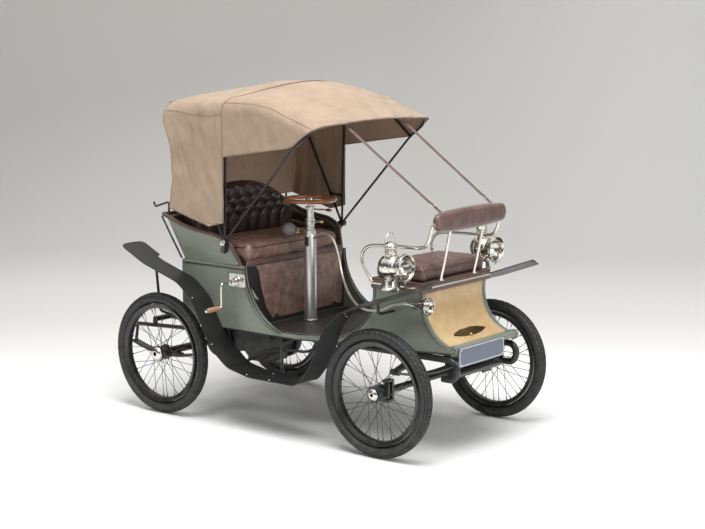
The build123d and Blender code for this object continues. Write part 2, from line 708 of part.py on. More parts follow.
def arch_face(x, heights, inset, foot):
    """The roof's cross section: upright sides, round shoulders and a shallow arch."""
    side_z, top_z = heights
    half = HOOD_HALF - inset
    z = side_z - inset
    with BuildSketch(Plane.YZ.offset(x)) as made:
        with BuildLine():
            near = ThreePointArc((-half, z - SHOULDER), (-half + 22, z - 17), (-half + 90, z + 12))
            top = ThreePointArc(near @ 1, (0, top_z - inset), (half - 90, z + 12))
            far = ThreePointArc(top @ 1, (half - 22, z - 17), (half, z - SHOULDER))
            Polyline(far @ 1, (half, foot), (-half, foot), near @ 0)
        make_face()
    return made.sketch


def roof_block(inset):
    """The space under the cambered roof, moved in by the inset."""
    faces = [arch_face(x, heights, inset, 1000).face() for x, *heights in HOOD_STATIONS]
    with BuildPart() as made:
        loft(faces, ruled=True)
    return made.part


with BuildPart() as hood:
    add(roof_block(0))
    add(slab_y(HOOD_SIDE, -700, 700), mode=Mode.INTERSECT)
    with BuildPart(mode=Mode.PRIVATE) as hollow:
        add(roof_block(HOOD_T))
        add(slab_y(HOOD_HOLLOW, -700, 700), mode=Mode.INTERSECT)
    add(hollow.part, mode=Mode.SUBTRACT)
save(hood.part, "hood")

# Hood bows: flat irons that share a pivot on each side of the seat, with arched
# bars under the roof. Rows: station along X of each bar, space under the roof.
BOWS = (
    (-640, 1.2),
    (-285, 0.4),
    (64, 3.2),
    (330, 3.2),
)
BOW_HALF = BODY_HALF + 70
BOW_W = 11
PIVOT = (-304, 1030)
STRUT_KNEE = (201, 1575)


def roof_at(x):
    """Heights of the side seam and of the centre at a station."""
    for (x0, s0, t0), (x1, s1, t1) in zip(HOOD_STATIONS, HOOD_STATIONS[1:]):
        if x0 <= x <= x1:
            k = (x - x0) / (x1 - x0)
            return s0 + k * (s1 - s0), t0 + k * (t1 - t0)


def flat_bar(p, q, side):
    """A flat iron in the side view from p to q, on one side of the car."""
    run = Vector(q[0] - p[0], q[1] - p[1])
    off = Vector(-run.Y, run.X).normalized() * (BOW_W / 2)
    end = run.normalized() * 4
    corners = [(p[0] + off.X, p[1] + off.Y), (q[0] + off.X + end.X, q[1] + off.Y + end.Y),
               (q[0] - off.X + end.X, q[1] - off.Y + end.Y), (p[0] - off.X, p[1] - off.Y)]
    return slab_y(corners, *sorted((side * (BOW_HALF - 4), side * (BOW_HALF + 4))))


def bow_bar(x, space):
    """The arched bar of one bow, square in section, and the height of its feet."""
    heights = roof_at(x)
    outer = HOOD_T + space
    foot = heights[0] - outer - SHOULDER - 14
    start = x - BOW_W / 2
    with BuildPart() as made:
        extrude(arch_face(start, heights, outer, foot), amount=BOW_W)
        extrude(arch_face(start, heights, outer + BOW_W, foot - 5), amount=BOW_W, mode=Mode.SUBTRACT)
    return made.part, foot


with BuildPart() as hood_bows:
    for x, space in BOWS:
        bar, foot = bow_bar(x, space)
        add(bar)
        for side, s in SIDES:
            add(flat_bar(STRUT_KNEE if x > 0 else PIVOT, (x, foot + 6), s))
    for side, s in SIDES:
        add(flat_bar(PIVOT, STRUT_KNEE, s))
        add(flat_bar((-386, 1206), (-303, 1196), s))
        iron_y = s * (BODY_HALF + 61)
        add(rod([(-738, iron_y, 1122), (-738, iron_y, 1222), (-846, iron_y, 1187),
                 (-858, iron_y, 1214)], 6, 8))
        add(disc_y(PIVOT[0], PIVOT[1], s * (BOW_HALF - 12), s * (BOW_HALF + 20), 21))
        add(slab_y([(-322, 1036), (-286, 1036), (-318, 968), (-352, 968)],
                   *sorted((s * (BOW_HALF - 41), s * (BOW_HALF + 10)))))
    add(seat_surround.part, mode=Mode.SUBTRACT)
save(hood_bows.part, "hood_bows")

# Straps from the front of the hood to the front seat's bar back.
with BuildPart() as hood_straps:
    for side, s in SIDES:
        run = Vector(652, s * -19, -452)
        mid = Plane(origin=(670, s * 248.5, 1459), x_dir=run, z_dir=(0.57, 0, 0.82))
        with BuildSketch(mid):
            Rectangle(run.length, 26)
        extrude(amount=2, both=True)
    add(front_backrest.part, mode=Mode.SUBTRACT)
    add(hood.part, mode=Mode.SUBTRACT)
save(hood_straps.part, "hood_straps")

# Blank plate across the nose.
with BuildPart() as number_plate:
    add(block(1110 + SEAT, 1114, -295, 127, 475, 577))
    add(block(1090, 1112, -291, -275, 478, 504))
    add(frame.part, mode=Mode.SUBTRACT)
save(number_plate.part, "number_plate")
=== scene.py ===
import math
import bmesh
import bpy
import numpy as np
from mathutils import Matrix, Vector, noise


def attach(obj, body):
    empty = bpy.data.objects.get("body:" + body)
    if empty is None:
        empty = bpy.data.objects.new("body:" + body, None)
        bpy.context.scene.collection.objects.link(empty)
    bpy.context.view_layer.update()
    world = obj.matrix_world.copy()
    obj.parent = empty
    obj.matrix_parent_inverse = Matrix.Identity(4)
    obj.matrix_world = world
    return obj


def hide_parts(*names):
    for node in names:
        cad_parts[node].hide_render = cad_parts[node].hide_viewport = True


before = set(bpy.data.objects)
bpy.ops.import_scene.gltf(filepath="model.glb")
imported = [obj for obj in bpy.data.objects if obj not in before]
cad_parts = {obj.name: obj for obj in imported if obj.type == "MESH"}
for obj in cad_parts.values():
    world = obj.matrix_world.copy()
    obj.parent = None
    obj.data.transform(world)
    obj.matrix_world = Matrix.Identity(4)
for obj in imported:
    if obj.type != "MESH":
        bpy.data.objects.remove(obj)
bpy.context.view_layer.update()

TAU = 2 * math.pi
SIDES = ((-1.0, "right"), (1.0, "left"))


# Shader groups: effects that several finishes share.

def new_group(name, inputs, outputs):
    """An empty shader group with the named sockets."""
    group = bpy.data.node_groups.new(name, "ShaderNodeTree")
    for kind, label, value in inputs:
        s = group.interface.new_socket(label, in_out="INPUT", socket_type=kind)
        if value is not None:
            s.default_value = value
    for kind, label in outputs:
        group.interface.new_socket(label, in_out="OUTPUT", socket_type=kind)
    n = group.nodes
    return group, n, group.links, n.new("NodeGroupInput"), n.new("NodeGroupOutput")


FLOAT, COLOR, VECTOR = "NodeSocketFloat", "NodeSocketColor", "NodeSocketVector"


def math_node(nodes, links, op, a, b, clamp=False):
    """One Math node fed by sockets or numbers."""
    m = nodes.new("ShaderNodeMath")
    m.operation = op
    m.use_clamp = clamp
    for i, v in enumerate((a, b)):
        if v is None:
            continue
        if isinstance(v, (int, float)):
            m.inputs[i].default_value = v
        else:
            links.new(v, m.inputs[i])
    return m.outputs[0]


def noise_node(nodes, links, vector, scale, detail=3.0, rough=0.55):
    """A Noise texture on the given vector."""
    t = nodes.new("ShaderNodeTexNoise")
    t.inputs["Detail"].default_value = detail
    t.inputs["Roughness"].default_value = rough
    if isinstance(scale, (int, float)):
        t.inputs["Scale"].default_value = scale
    else:
        links.new(scale, t.inputs["Scale"])
    links.new(vector, t.inputs["Vector"])
    return t.outputs["Fac"]


def mix_node(nodes, links, fac, a, b, kind="MIX"):
    """A colour Mix node."""
    m = nodes.new("ShaderNodeMix")
    m.data_type = "RGBA"
    m.blend_type = kind
    for sock, v in ((m.inputs[0], fac), (m.inputs[6], a), (m.inputs[7], b)):
        if isinstance(v, (int, float)):
            sock.default_value = v
        elif isinstance(v, tuple):
            sock.default_value = (*v, 1.0)
        else:
            links.new(v, sock)
    return m.outputs[2]


def step_node(nodes, links, value, low, high):
    """A smooth step from low to high."""
    m = nodes.new("ShaderNodeMapRange")
    m.interpolation_type = "SMOOTHSTEP"
    m.inputs["From Min"].default_value = low
    m.inputs["From Max"].default_value = high
    links.new(value, m.inputs["Value"])
    return m.outputs["Result"]


def dot_node(nodes, links, vector, axis):
    """How far a vector reaches along an axis."""
    m = nodes.new("ShaderNodeVectorMath")
    m.operation = "DOT_PRODUCT"
    links.new(vector, m.inputs[0])
    m.inputs[1].default_value = tuple(axis)
    return m.outputs["Value"]


def build_grain():
    """Two colours mixed by coarse noise, with a height from fine noise."""
    g, n, l, i, o = new_group("grain", [
        (VECTOR, "Vector", None), (FLOAT, "Coarse", 6.0), (FLOAT, "Fine", 300.0),
        (FLOAT, "Spread", 0.5), (COLOR, "Ground", (1, 1, 1, 1)),
        (COLOR, "Vein", (0, 0, 0, 1))], [(COLOR, "Color"), (FLOAT, "Height")])
    big = noise_node(n, l, i.outputs["Vector"], i.outputs["Coarse"], 5, 0.6)
    small = noise_node(n, l, i.outputs["Vector"], i.outputs["Fine"], 2, 0.5)
    fac = step_node(n, l, big, 0.35, 0.7)
    fac = math_node(n, l, "MULTIPLY", fac, i.outputs["Spread"], True)
    l.new(mix_node(n, l, fac, i.outputs["Ground"], i.outputs["Vein"]), o.inputs["Color"])
    l.new(small, o.inputs["Height"])
    return g


def build_pebble():
    """Small rounded cells, as pebbled paint or hide has."""
    g, n, l, i, o = new_group("pebble", [
        (VECTOR, "Vector", None), (FLOAT, "Cells", 300.0)], [(FLOAT, "Height")])
    v = n.new("ShaderNodeTexVoronoi")
    v.feature = "SMOOTH_F1"
    l.new(i.outputs["Cells"], v.inputs["Scale"])
    l.new(i.outputs["Vector"], v.inputs["Vector"])
    l.new(math_node(n, l, "SUBTRACT", 1.0, v.outputs["Distance"]), o.inputs["Height"])
    return g


def build_dust():
    """Road dust: more of it low down and on faces that look up, broken by noise."""
    g, n, l, i, o = new_group("dust", [
        (VECTOR, "Vector", None), (COLOR, "Color", (1, 1, 1, 1)),
        (COLOR, "Dust", (0.42, 0.38, 0.31, 1)), (FLOAT, "Amount", 0.3),
        (FLOAT, "Top", 0.6)], [(COLOR, "Color"), (FLOAT, "Mask")])
    sep = n.new("ShaderNodeSeparateXYZ")
    l.new(i.outputs["Vector"], sep.inputs[0])
    high = math_node(n, l, "DIVIDE", sep.outputs["Z"], i.outputs["Top"])
    low = math_node(n, l, "SUBTRACT", 1.0, high, True)
    geo = n.new("ShaderNodeNewGeometry")
    up = n.new("ShaderNodeSeparateXYZ")
    l.new(geo.outputs["Normal"], up.inputs[0])
    face = math_node(n, l, "MULTIPLY", up.outputs["Z"], 0.35, True)
    where = math_node(n, l, "ADD", low, face, True)
    spots = step_node(n, l, noise_node(n, l, i.outputs["Vector"], 22.0, 6, 0.65), 0.38, 0.75)
    mask = math_node(n, l, "MULTIPLY", where, spots)
    mask = math_node(n, l, "MULTIPLY", mask, i.outputs["Amount"], True)
    l.new(mix_node(n, l, mask, i.outputs["Color"], i.outputs["Dust"]), o.inputs["Color"])
    l.new(mask, o.inputs["Mask"])
    return g


def build_wear():
    """Rubbed patches: sharp noise islands where the lighter ground shows."""
    g, n, l, i, o = new_group("wear", [
        (VECTOR, "Vector", None), (COLOR, "Color", (1, 1, 1, 1)),
        (COLOR, "Rubbed", (0.6, 0.55, 0.5, 1)), (FLOAT, "Size", 9.0),
        (FLOAT, "Amount", 0.5)], [(COLOR, "Color"), (FLOAT, "Mask")])
    a = noise_node(n, l, i.outputs["Vector"], i.outputs["Size"], 8, 0.72)
    fine = noise_node(n, l, i.outputs["Vector"], 140.0, 3, 0.6)
    both = math_node(n, l, "MULTIPLY_ADD", fine, 0.35)
    l.new(a, both.node.inputs[2])
    mask = step_node(n, l, both, 0.66, 0.86)
    mask = math_node(n, l, "MULTIPLY", mask, i.outputs["Amount"], True)
    l.new(mix_node(n, l, mask, i.outputs["Color"], i.outputs["Rubbed"]), o.inputs["Color"])
    l.new(mask, o.inputs["Mask"])
    return g


def build_weave():
    """Plain weave: crossed waves along two axes of the cloth's own coordinates."""
    g, n, l, i, o = new_group("weave", [
        (VECTOR, "Vector", None), (FLOAT, "Threads", 500.0)], [(FLOAT, "Height")])
    out = []
    for axis in ("X", "Y"):
        w = n.new("ShaderNodeTexWave")
        w.bands_direction = axis
        w.inputs["Distortion"].default_value = 0.6
        l.new(i.outputs["Threads"], w.inputs["Scale"])
        l.new(i.outputs["Vector"], w.inputs["Vector"])
        out.append(w.outputs["Fac"])
    l.new(math_node(n, l, "MAXIMUM", *out), o.inputs["Height"])
    return g


GRAIN, PEBBLE, DUST = build_grain(), build_pebble(), build_dust()
WEAR, WEAVE = build_wear(), build_weave()


# Finishes.

class Finish:
    """A material being put together: its nodes, links and Principled shader."""

    def __init__(self, name, rough=0.5, metal=0.0, coat=0.0, coat_rough=0.1,
                 space="Object", sheen=0.0, ior=1.5):
        self.mat = bpy.data.materials.new(name)
        self.mat.use_nodes = True
        self.n, self.l = self.mat.node_tree.nodes, self.mat.node_tree.links
        self.bsdf = self.n["Principled BSDF"]
        self.bsdf.inputs["Roughness"].default_value = rough
        self.bsdf.inputs["Metallic"].default_value = metal
        self.bsdf.inputs["Coat Weight"].default_value = coat
        self.bsdf.inputs["Coat Roughness"].default_value = coat_rough
        self.bsdf.inputs["Sheen Weight"].default_value = sheen
        self.bsdf.inputs["IOR"].default_value = ior
        self.at = self.n.new("ShaderNodeTexCoord").outputs[space]
        self.here = self.n.new("ShaderNodeTexCoord").outputs["Object"]

    def add(self, group, vector=None, **values):
        """Places a group; values are its named inputs."""
        g = self.n.new("ShaderNodeGroup")
        g.node_tree = group
        self.l.new(self.at if vector is None else vector, g.inputs["Vector"])
        for key, v in values.items():
            if isinstance(v, tuple):
                g.inputs[key].default_value = (*v, 1.0)
            elif isinstance(v, (int, float)):
                g.inputs[key].default_value = v
            else:
                self.l.new(v, g.inputs[key])
        return g.outputs

    def stretched(self, scale, turn=0.0):
        """The finish's coordinates, turned about Z and scaled."""
        m = self.n.new("ShaderNodeMapping")
        m.inputs["Rotation"].default_value = (0, 0, turn)
        m.inputs["Scale"].default_value = scale
        self.l.new(self.at, m.inputs["Vector"])
        return m.outputs["Vector"]

    def color(self, socket):
        self.l.new(socket, self.bsdf.inputs["Base Color"])

    def rough(self, socket, low, high):
        m = self.n.new("ShaderNodeMapRange")
        m.inputs["To Min"].default_value = low
        m.inputs["To Max"].default_value = high
        self.l.new(socket, m.inputs["Value"])
        self.l.new(m.outputs["Result"], self.bsdf.inputs["Roughness"])

    def bump(self, *heights):
        """Chained bumps. Rows: height socket, strength, distance in metres."""
        last = None
        for socket, strength, distance in heights:
            b = self.n.new("ShaderNodeBump")
            b.inputs["Strength"].default_value = strength
            b.inputs["Distance"].default_value = distance
            self.l.new(socket, b.inputs["Height"])
            if last is not None:
                self.l.new(last, b.inputs["Normal"])
            last = b.outputs["Normal"]
        self.l.new(last, self.bsdf.inputs["Normal"])


def painted(name, ground, vein, rough, coat, cells, dust, pebble=0.25, top=0.75):
    """Paint: slight colour drift, a pebbled or flowed face, and road dust."""
    f = Finish(name, rough, 0.0, coat, 0.12)
    g = f.add(GRAIN, Coarse=5.0, Fine=420.0, Spread=0.55, Ground=ground, Vein=vein)
    p = f.add(PEBBLE, Cells=cells)
    d = f.add(DUST, Color=g["Color"], Amount=dust, Top=top)
    f.color(d["Color"])
    f.rough(d["Mask"], rough, 0.85)
    f.bump((p["Height"], pebble, 0.0012 if pebble < 0.5 else 0.0030), (g["Height"], 0.08, 0.0006))
    return f.mat


def plated(name, ground, tarnish, rough, spread=0.45):
    """Plated or polished metal: drifting tarnish and a faint brushed height."""
    f = Finish(name, rough, 1.0)
    g = f.add(GRAIN, Coarse=14.0, Fine=260.0, Spread=spread, Ground=ground, Vein=tarnish)
    f.color(g["Color"])
    f.rough(g["Height"], rough * 0.85, rough * 1.2)
    f.bump((g["Height"], 0.012, 0.0002))
    return f.mat


def hide(name, ground, vein, rubbed, cells, wear, rough=0.42, coat=0.15):
    """Leather: cell grain, drifting dye, rubbed islands."""
    f = Finish(name, rough, 0.0, coat, 0.25)
    g = f.add(GRAIN, Coarse=16.0, Fine=90.0, Spread=0.8, Ground=ground, Vein=vein)
    w = f.add(WEAR, Color=g["Color"], Rubbed=rubbed, Size=17.0, Amount=wear)
    p = f.add(PEBBLE, Cells=cells)
    f.color(w["Color"])
    f.rough(w["Mask"], rough, 0.75)
    f.bump((p["Height"], 0.35, 0.0010), (g["Height"], 0.35, 0.0014))
    return f.mat


def timber(name, ground, vein, rough, coat, stretch):
    """Wood: noise drawn out along the grain."""
    f = Finish(name, rough, 0.0, coat, 0.1)
    g = f.add(GRAIN, f.stretched(stretch), Coarse=9.0, Fine=60.0, Spread=0.9,
              Ground=ground, Vein=vein)
    f.color(g["Color"])
    f.rough(g["Height"], rough * 0.8, rough * 1.4)
    f.bump((g["Height"], 0.2, 0.0006))
    return f.mat


def cloth(name, ground, vein, soil, threads=190.0, space="UV", rough=0.9, swell=0.03):
    """Canvas: plain weave along the cloth, its hollows darkened as painted shade, soiling in
    drifts, and a broad swell whose depth is given."""
    f = Finish(name, rough, 0.0, sheen=0.15, space=space)
    w = f.add(WEAVE, Threads=threads)
    g = f.add(GRAIN, f.here, Coarse=3.5, Fine=35.0, Spread=0.6, Ground=ground, Vein=vein)
    s = f.add(WEAR, f.here, Color=g["Color"], Rubbed=soil, Size=5.0, Amount=0.35)
    # The colour is darkened in the weave's hollows: painted shade.
    dark = f.n.new("ShaderNodeMix")
    dark.data_type, dark.blend_type = "RGBA", "MULTIPLY"
    dark.inputs[0].default_value = 0.28
    f.l.new(s["Color"], dark.inputs[6])
    f.l.new(w["Height"], dark.inputs[7])
    f.color(dark.outputs[2])
    broad = f.add(GRAIN, f.stretched((1.0, 0.5, 1.0), 0.95), Coarse=2.4, Fine=5.5)
    f.bump((broad["Height"], 0.8, swell), (w["Height"], 0.35, 0.0008), (g["Height"], 0.25, 0.004))
    return f.mat


def rubber(name, ground, vein, rough, dust):
    """Rubber: dull, dusty where it meets the road."""
    f = Finish(name, rough)
    g = f.add(GRAIN, Coarse=10.0, Fine=380.0, Spread=0.7, Ground=ground, Vein=vein)
    d = f.add(DUST, Color=g["Color"], Dust=(0.33, 0.31, 0.27), Amount=dust, Top=0.9)
    f.color(d["Color"])
    f.rough(d["Mask"], rough, 0.95)
    f.bump((g["Height"], 0.25, 0.0007))
    return f.mat


def lens(name):
    """Clear lamp glass."""
    f = Finish(name, 0.02, ior=1.12)
    f.bsdf.inputs["Transmission Weight"].default_value = 1.0
    g = f.add(GRAIN, Coarse=20.0, Fine=60.0, Spread=0.3, Ground=(0.95, 0.96, 0.95),
              Vein=(0.8, 0.82, 0.8))
    f.color(g["Color"])
    f.bump((g["Height"], 0.03, 0.0005))
    return f.mat


PAINT = painted("sage_paint", (0.205, 0.230, 0.186), (0.120, 0.140, 0.108), 0.34, 0.35, 150.0,
                0.05, 0.7)
PAINT_DARK = painted("green_trim", (0.060, 0.080, 0.056), (0.04, 0.055, 0.038), 0.35, 0.4, 330.0,
                     0.05)
IRON = painted("black_iron", (0.010, 0.010, 0.011), (0.020, 0.019, 0.017), 0.34, 0.25, 500.0, 0.10,
               0.06)
FENDER = painted("black_fender", (0.0075, 0.0075, 0.008), (0.013, 0.013, 0.013), 0.46, 0.06, 700.0,
                 0.03, 0.10)
WHEEL_BLACK = painted("wheel_black", (0.009, 0.009, 0.010), (0.018, 0.017, 0.016), 0.3, 0.25,
                      420.0, 0.08, 0.05)
TYRE = rubber("tyre_rubber", (0.016, 0.016, 0.017), (0.028, 0.027, 0.026), 0.58, 0.12)
BULB = rubber("bulb_rubber", (0.28, 0.275, 0.27), (0.22, 0.217, 0.215), 0.5, 0.03)
NICKEL = plated("nickel", (0.72, 0.70, 0.65), (0.52, 0.49, 0.43), 0.13)
STEEL = plated("bright_steel", (0.88, 0.87, 0.865), (0.78, 0.77, 0.76), 0.36, 0.2)
HOSE = plated("hose_braid", (0.76, 0.73, 0.67), (0.58, 0.55, 0.50), 0.42)
BRASS = plated("brass", (0.78, 0.56, 0.24), (0.50, 0.33, 0.13), 0.22)
COPPER = plated("copper", (0.80, 0.42, 0.25), (0.5, 0.25, 0.14), 0.25)
CAST = plated("cast_metal", (0.10, 0.10, 0.10), (0.05, 0.045, 0.04), 0.5, 0.8)
# Worn leather for the rear seat and apron: mottled rubbed patches, and a ground lightened to paint
# the light that falls there.
HIDE_WORN_LIT = hide("worn_lit_leather", (0.34, 0.205, 0.165), (0.13, 0.076, 0.062), (0.56, 0.41, 0.34),
                 420.0, 0.45)
HIDE = hide("mauve_leather", (0.138, 0.080, 0.067), (0.078, 0.044, 0.038), (0.27, 0.185, 0.155),
            420.0, 0.35)
# Leather darkened to paint the shade under the hood, on the rear seat's back, rolls and linings.
HIDE_SHADED = hide("shaded_leather", (0.046, 0.025, 0.021), (0.026, 0.014, 0.012),
                 (0.105, 0.066, 0.055), 380.0, 0.2, 0.30, 0.3)
HIDE_PIPE = hide("leather_piping", (0.100, 0.057, 0.048), (0.060, 0.034, 0.029),
                 (0.22, 0.15, 0.125), 420.0, 0.2)
HIDE_TAN = hide("tan_leather", (0.60, 0.43, 0.225), (0.50, 0.33, 0.155), (0.68, 0.53, 0.34), 260.0,
                0.25, 0.36, 0.25)
CANVAS = cloth("beige_canvas", (0.43, 0.318, 0.226), (0.33, 0.240, 0.168), (0.25, 0.178, 0.124),
               swell=0.08)
LINING = cloth("hood_lining", (0.47, 0.33, 0.235), (0.36, 0.25, 0.175), (0.26, 0.18, 0.125))
CANVAS_EDGE = cloth("canvas_binding", (0.36, 0.262, 0.19), (0.28, 0.20, 0.142),
                    (0.22, 0.155, 0.108))
BOARDS = timber("black_boards", (0.016, 0.014, 0.014), (0.030, 0.027, 0.025), 0.5, 0.1,
                (1.0, 12.0, 12.0))
WOOD = timber("orange_wood", (0.40, 0.135, 0.036), (0.20, 0.060, 0.016), 0.22, 0.7,
              (8.0, 8.0, 20.0))
PALE_WOOD = timber("pale_wood", (0.44, 0.255, 0.15), (0.30, 0.16, 0.085), 0.45, 0.15,
                   (10.0, 2.0, 10.0))
PLATE = painted("plate_blue", (0.115, 0.140, 0.190), (0.095, 0.118, 0.165), 0.35, 0.3, 200.0, 0.03,
                0.03)
PLATE_EDGE = painted("plate_edge", (0.66, 0.67, 0.65), (0.55, 0.55, 0.53), 0.35, 0.3, 200.0, 0.03,
                     0.03)
GLASS = lens("lamp_glass")
GOLD_DARK = plated("dark_gold", (0.16, 0.105, 0.035), (0.08, 0.052, 0.018), 0.3)
CREAM = painted("cream_patch", (0.66, 0.60, 0.42), (0.55, 0.50, 0.35), 0.5, 0.1, 200.0, 0.05, 0.03)

CAD_FINISH = {
    "frame": IRON, "front_axle": IRON, "front_spring": IRON, "rear_axle": IRON,
    "gear_case": CAST, "rear_springs": IRON, "engine_block": CAST, "front_drum": IRON,
    "tie_rod": IRON, "knuckle_right": IRON, "knuckle_left": IRON, "body_sides": PAINT,
    "back_panel": PAINT, "floor": BOARDS, "seat_box": PAINT, "seat_apron": HIDE,
    "seat_surround": PAINT, "rear_cushion": HIDE, "rear_backrest": HIDE_SHADED,
    "arm_rolls": HIDE_SHADED, "front_panel": HIDE_TAN, "box_back": PAINT, "seat_tray": HIDE,
    "front_cushion": HIDE, "seat_rails": NICKEL, "front_backrest": HIDE, "fenders": FENDER,
    "fender_stays": IRON, "steering_column": NICKEL, "steering_wheel": WOOD,
    "crank_plate": NICKEL, "crank": NICKEL, "horn_bulb": BULB, "horn": NICKEL,
    "horn_tube": NICKEL, "lamps": NICKEL, "hood": CANVAS, "hood_bows": IRON,
    "hood_straps": HIDE, "number_plate": PLATE,
}
for name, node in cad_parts.items():
    finish = CAD_FINISH.get(name) or (TYRE if name.startswith("tyre") else WHEEL_BLACK)
    node.data.materials.clear()
    node.data.materials.append(finish)


# Surfaces worked out on grids.

def skin(points, round_u=False, round_v=False, caps=False):
    """Quads over a grid: point (i, j) joins (i+1, j), (i+1, j+1) and (i, j+1). A
    rounded direction joins its last row to its first. Caps fan each end row to its
    mean. Returns points, faces and the grid's own (u, v)."""
    p = np.asarray(points, float)
    nu, nv = p.shape[:2]
    i = np.arange(nu if round_u else nu - 1)[:, None]
    j = np.arange(nv if round_v else nv - 1)[None, :]
    a, b = i * nv + j, ((i + 1) % nu) * nv + j
    c, d = ((i + 1) % nu) * nv + (j + 1) % nv, i * nv + (j + 1) % nv
    faces = [np.stack([a, b, c, d], -1).reshape(-1, 4)]
    verts = p.reshape(-1, 3)
    u, v = np.meshgrid(np.linspace(0, 1, nu), np.linspace(0, 1, nv), indexing="ij")
    uv = np.stack([u, v], -1).reshape(-1, 2)
    if caps:
        k = np.arange(nv)
        for row, flip in ((0, True), (nu - 1, False)):
            hub = len(verts)
            verts = np.vstack([verts, p[row].mean(0)])
            uv = np.vstack([uv, [row / max(nu - 1, 1), 0.5]])
            ring = row * nv + k
            nxt = row * nv + (k + 1) % nv
            tri = np.stack([ring, nxt, np.full(nv, hub)], -1)
            faces.append(tri if flip else tri[:, ::-1])
    return verts, faces, uv


def together(*forms):
    """Several forms as one."""
    verts, faces, uvs, at = [], [], [], 0
    for v, f, t in forms:
        verts.append(v)
        uvs.append(t)
        faces += [q + at for q in f]
        at += len(v)
    return np.vstack(verts), faces, np.vstack(uvs)


def both_sides(form):
    """A form and its mirror image across the centre plane."""
    v, f, t = form
    return together(form, (v * np.array([1.0, -1.0, 1.0]), [q[:, ::-1] for q in f], t))


def piece(name, form, finish, replaces=(), body="chassis", sharp=35.0,
          outward=True, uv_scale=(1.0, 1.0)):
    """Puts a form into the scene as one piece that rides on a body."""
    verts, faces, uv = form
    mesh = bpy.data.meshes.new(name)
    mesh.from_pydata(verts.tolist(), [], [q for f in faces for q in f.tolist()])
    layer = mesh.uv_layers.new(name="UVMap")
    index = np.zeros(len(mesh.loops), np.int32)
    mesh.loops.foreach_get("vertex_index", index)
    layer.data.foreach_set("uv", (uv[index] * np.array(uv_scale)).astype(np.float32).ravel())
    if outward:
        bm = bmesh.new()
        bm.from_mesh(mesh)
        bmesh.ops.remove_doubles(bm, verts=bm.verts, dist=1e-6)
        bmesh.ops.recalc_face_normals(bm, faces=bm.faces)
        bm.to_mesh(mesh)
        bm.free()
    mesh.shade_smooth()
    mesh.set_sharp_from_angle(angle=math.radians(sharp))
    mesh.materials.append(finish)
    obj = bpy.data.objects.new(name, mesh)
    bpy.context.collection.objects.link(obj)
    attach(obj, body)
    if replaces:
        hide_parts(*replaces)
    return obj


def circle(n, r=1.0):
    """n points round a circle in the plane, as (n, 2)."""
    a = np.arange(n) * TAU / n
    return np.stack([r * np.cos(a), r * np.sin(a)], -1)


def oblong(a, b):
    """The four corners of a flat bar's section, a and b from its middle."""
    return [(-a, -b), (a, -b), (a, b), (-a, b)]


def unit(v):
    """The vectors of a stack at length 1."""
    return v / np.linalg.norm(v, axis=-1, keepdims=True)


def line_normal(line):
    """Unit normal at each point of a flat line, to the left of its run."""
    t = unit(np.gradient(line, axis=0))
    return np.stack([-t[:, 1], t[:, 0]], -1)


def at_x(path, x):
    """Front view points (y, z) at one station."""
    p = np.asarray(path, float)
    return np.stack([np.full(len(p), x), p[:, 0], p[:, 1]], -1)


def at_y(path, y):
    """Side view points (x, z) at one distance from the centre plane."""
    p = np.asarray(path, float)
    return np.stack([p[:, 0], np.full(len(p), y), p[:, 1]], -1)


def along(path, section, up=(0, 0, 1), closed=True, caps=True, scale=None, loop=False):
    """A profile (side, top) carried along a path: p + side*s + top*t at each point,
    where side is across the path and level to up."""
    p = np.asarray(path, float)
    t = unit(np.roll(p, -1, 0) - np.roll(p, 1, 0) if loop else np.gradient(p, axis=0))
    side = np.cross(np.broadcast_to(np.asarray(up, float), t.shape), t)
    side /= np.maximum(np.linalg.norm(side, axis=1, keepdims=True), 1e-9)
    top = np.cross(t, side)
    s = np.asarray(section, float)
    k = np.ones(len(p)) if scale is None else np.asarray(scale, float)
    grid = (p[:, None, :] + k[:, None, None] * (side[:, None, :] * s[None, :, :1]
                                                + top[:, None, :] * s[None, :, 1:]))
    return skin(grid, round_u=loop, round_v=closed, caps=caps and closed and not loop)


def turned(profile, centre, axis="Y", n=48):
    """A profile of (distance along the axis, radius) turned about the axis."""
    q = np.asarray(profile, float)
    a = np.arange(n) * TAU / n
    run = np.broadcast_to(q[:, :1], (len(q), n))
    c, s = q[:, 1:] * np.cos(a), q[:, 1:] * np.sin(a)
    order = {"X": (run, c, s), "Y": (s, run, c), "Z": (c, s, run)}[axis]
    grid = np.stack(order, -1) + np.asarray(centre, float)
    return skin(grid, round_v=True, caps=True)


def smooth_path(points, n):
    """A Catmull-Rom curve through the points, at n even parameters."""
    p = np.asarray(points, float)
    p = np.vstack([2 * p[0] - p[1], p, 2 * p[-1] - p[-2]])
    m = len(p) - 3
    t = np.linspace(0, m - 1e-9, n)
    i = t.astype(int)
    f = (t - i)[:, None]
    a, b, c, d = p[i], p[i + 1], p[i + 2], p[i + 3]
    return (b + 0.5 * f * (c - a + f * (2 * a - 5 * b + 4 * c - d
            + f * (3 * (b - c) + d - a))))


def bolt(at, axis="Y", r=0.006, h=0.004, sign=1.0):
    """A domed bolt head whose foot is at a point."""
    prof = [(0, r * 1.25), (h * 0.3 * sign, r * 1.25), (h * 0.35 * sign, r),
            (h * 0.8 * sign, r * 0.8), (h * sign, r * 0.3)]
    return turned(prof, at, axis, 10)


# Stage, camera and light.

VIEW_TURN = 38.1    # degrees from straight ahead to the photograph's viewpoint


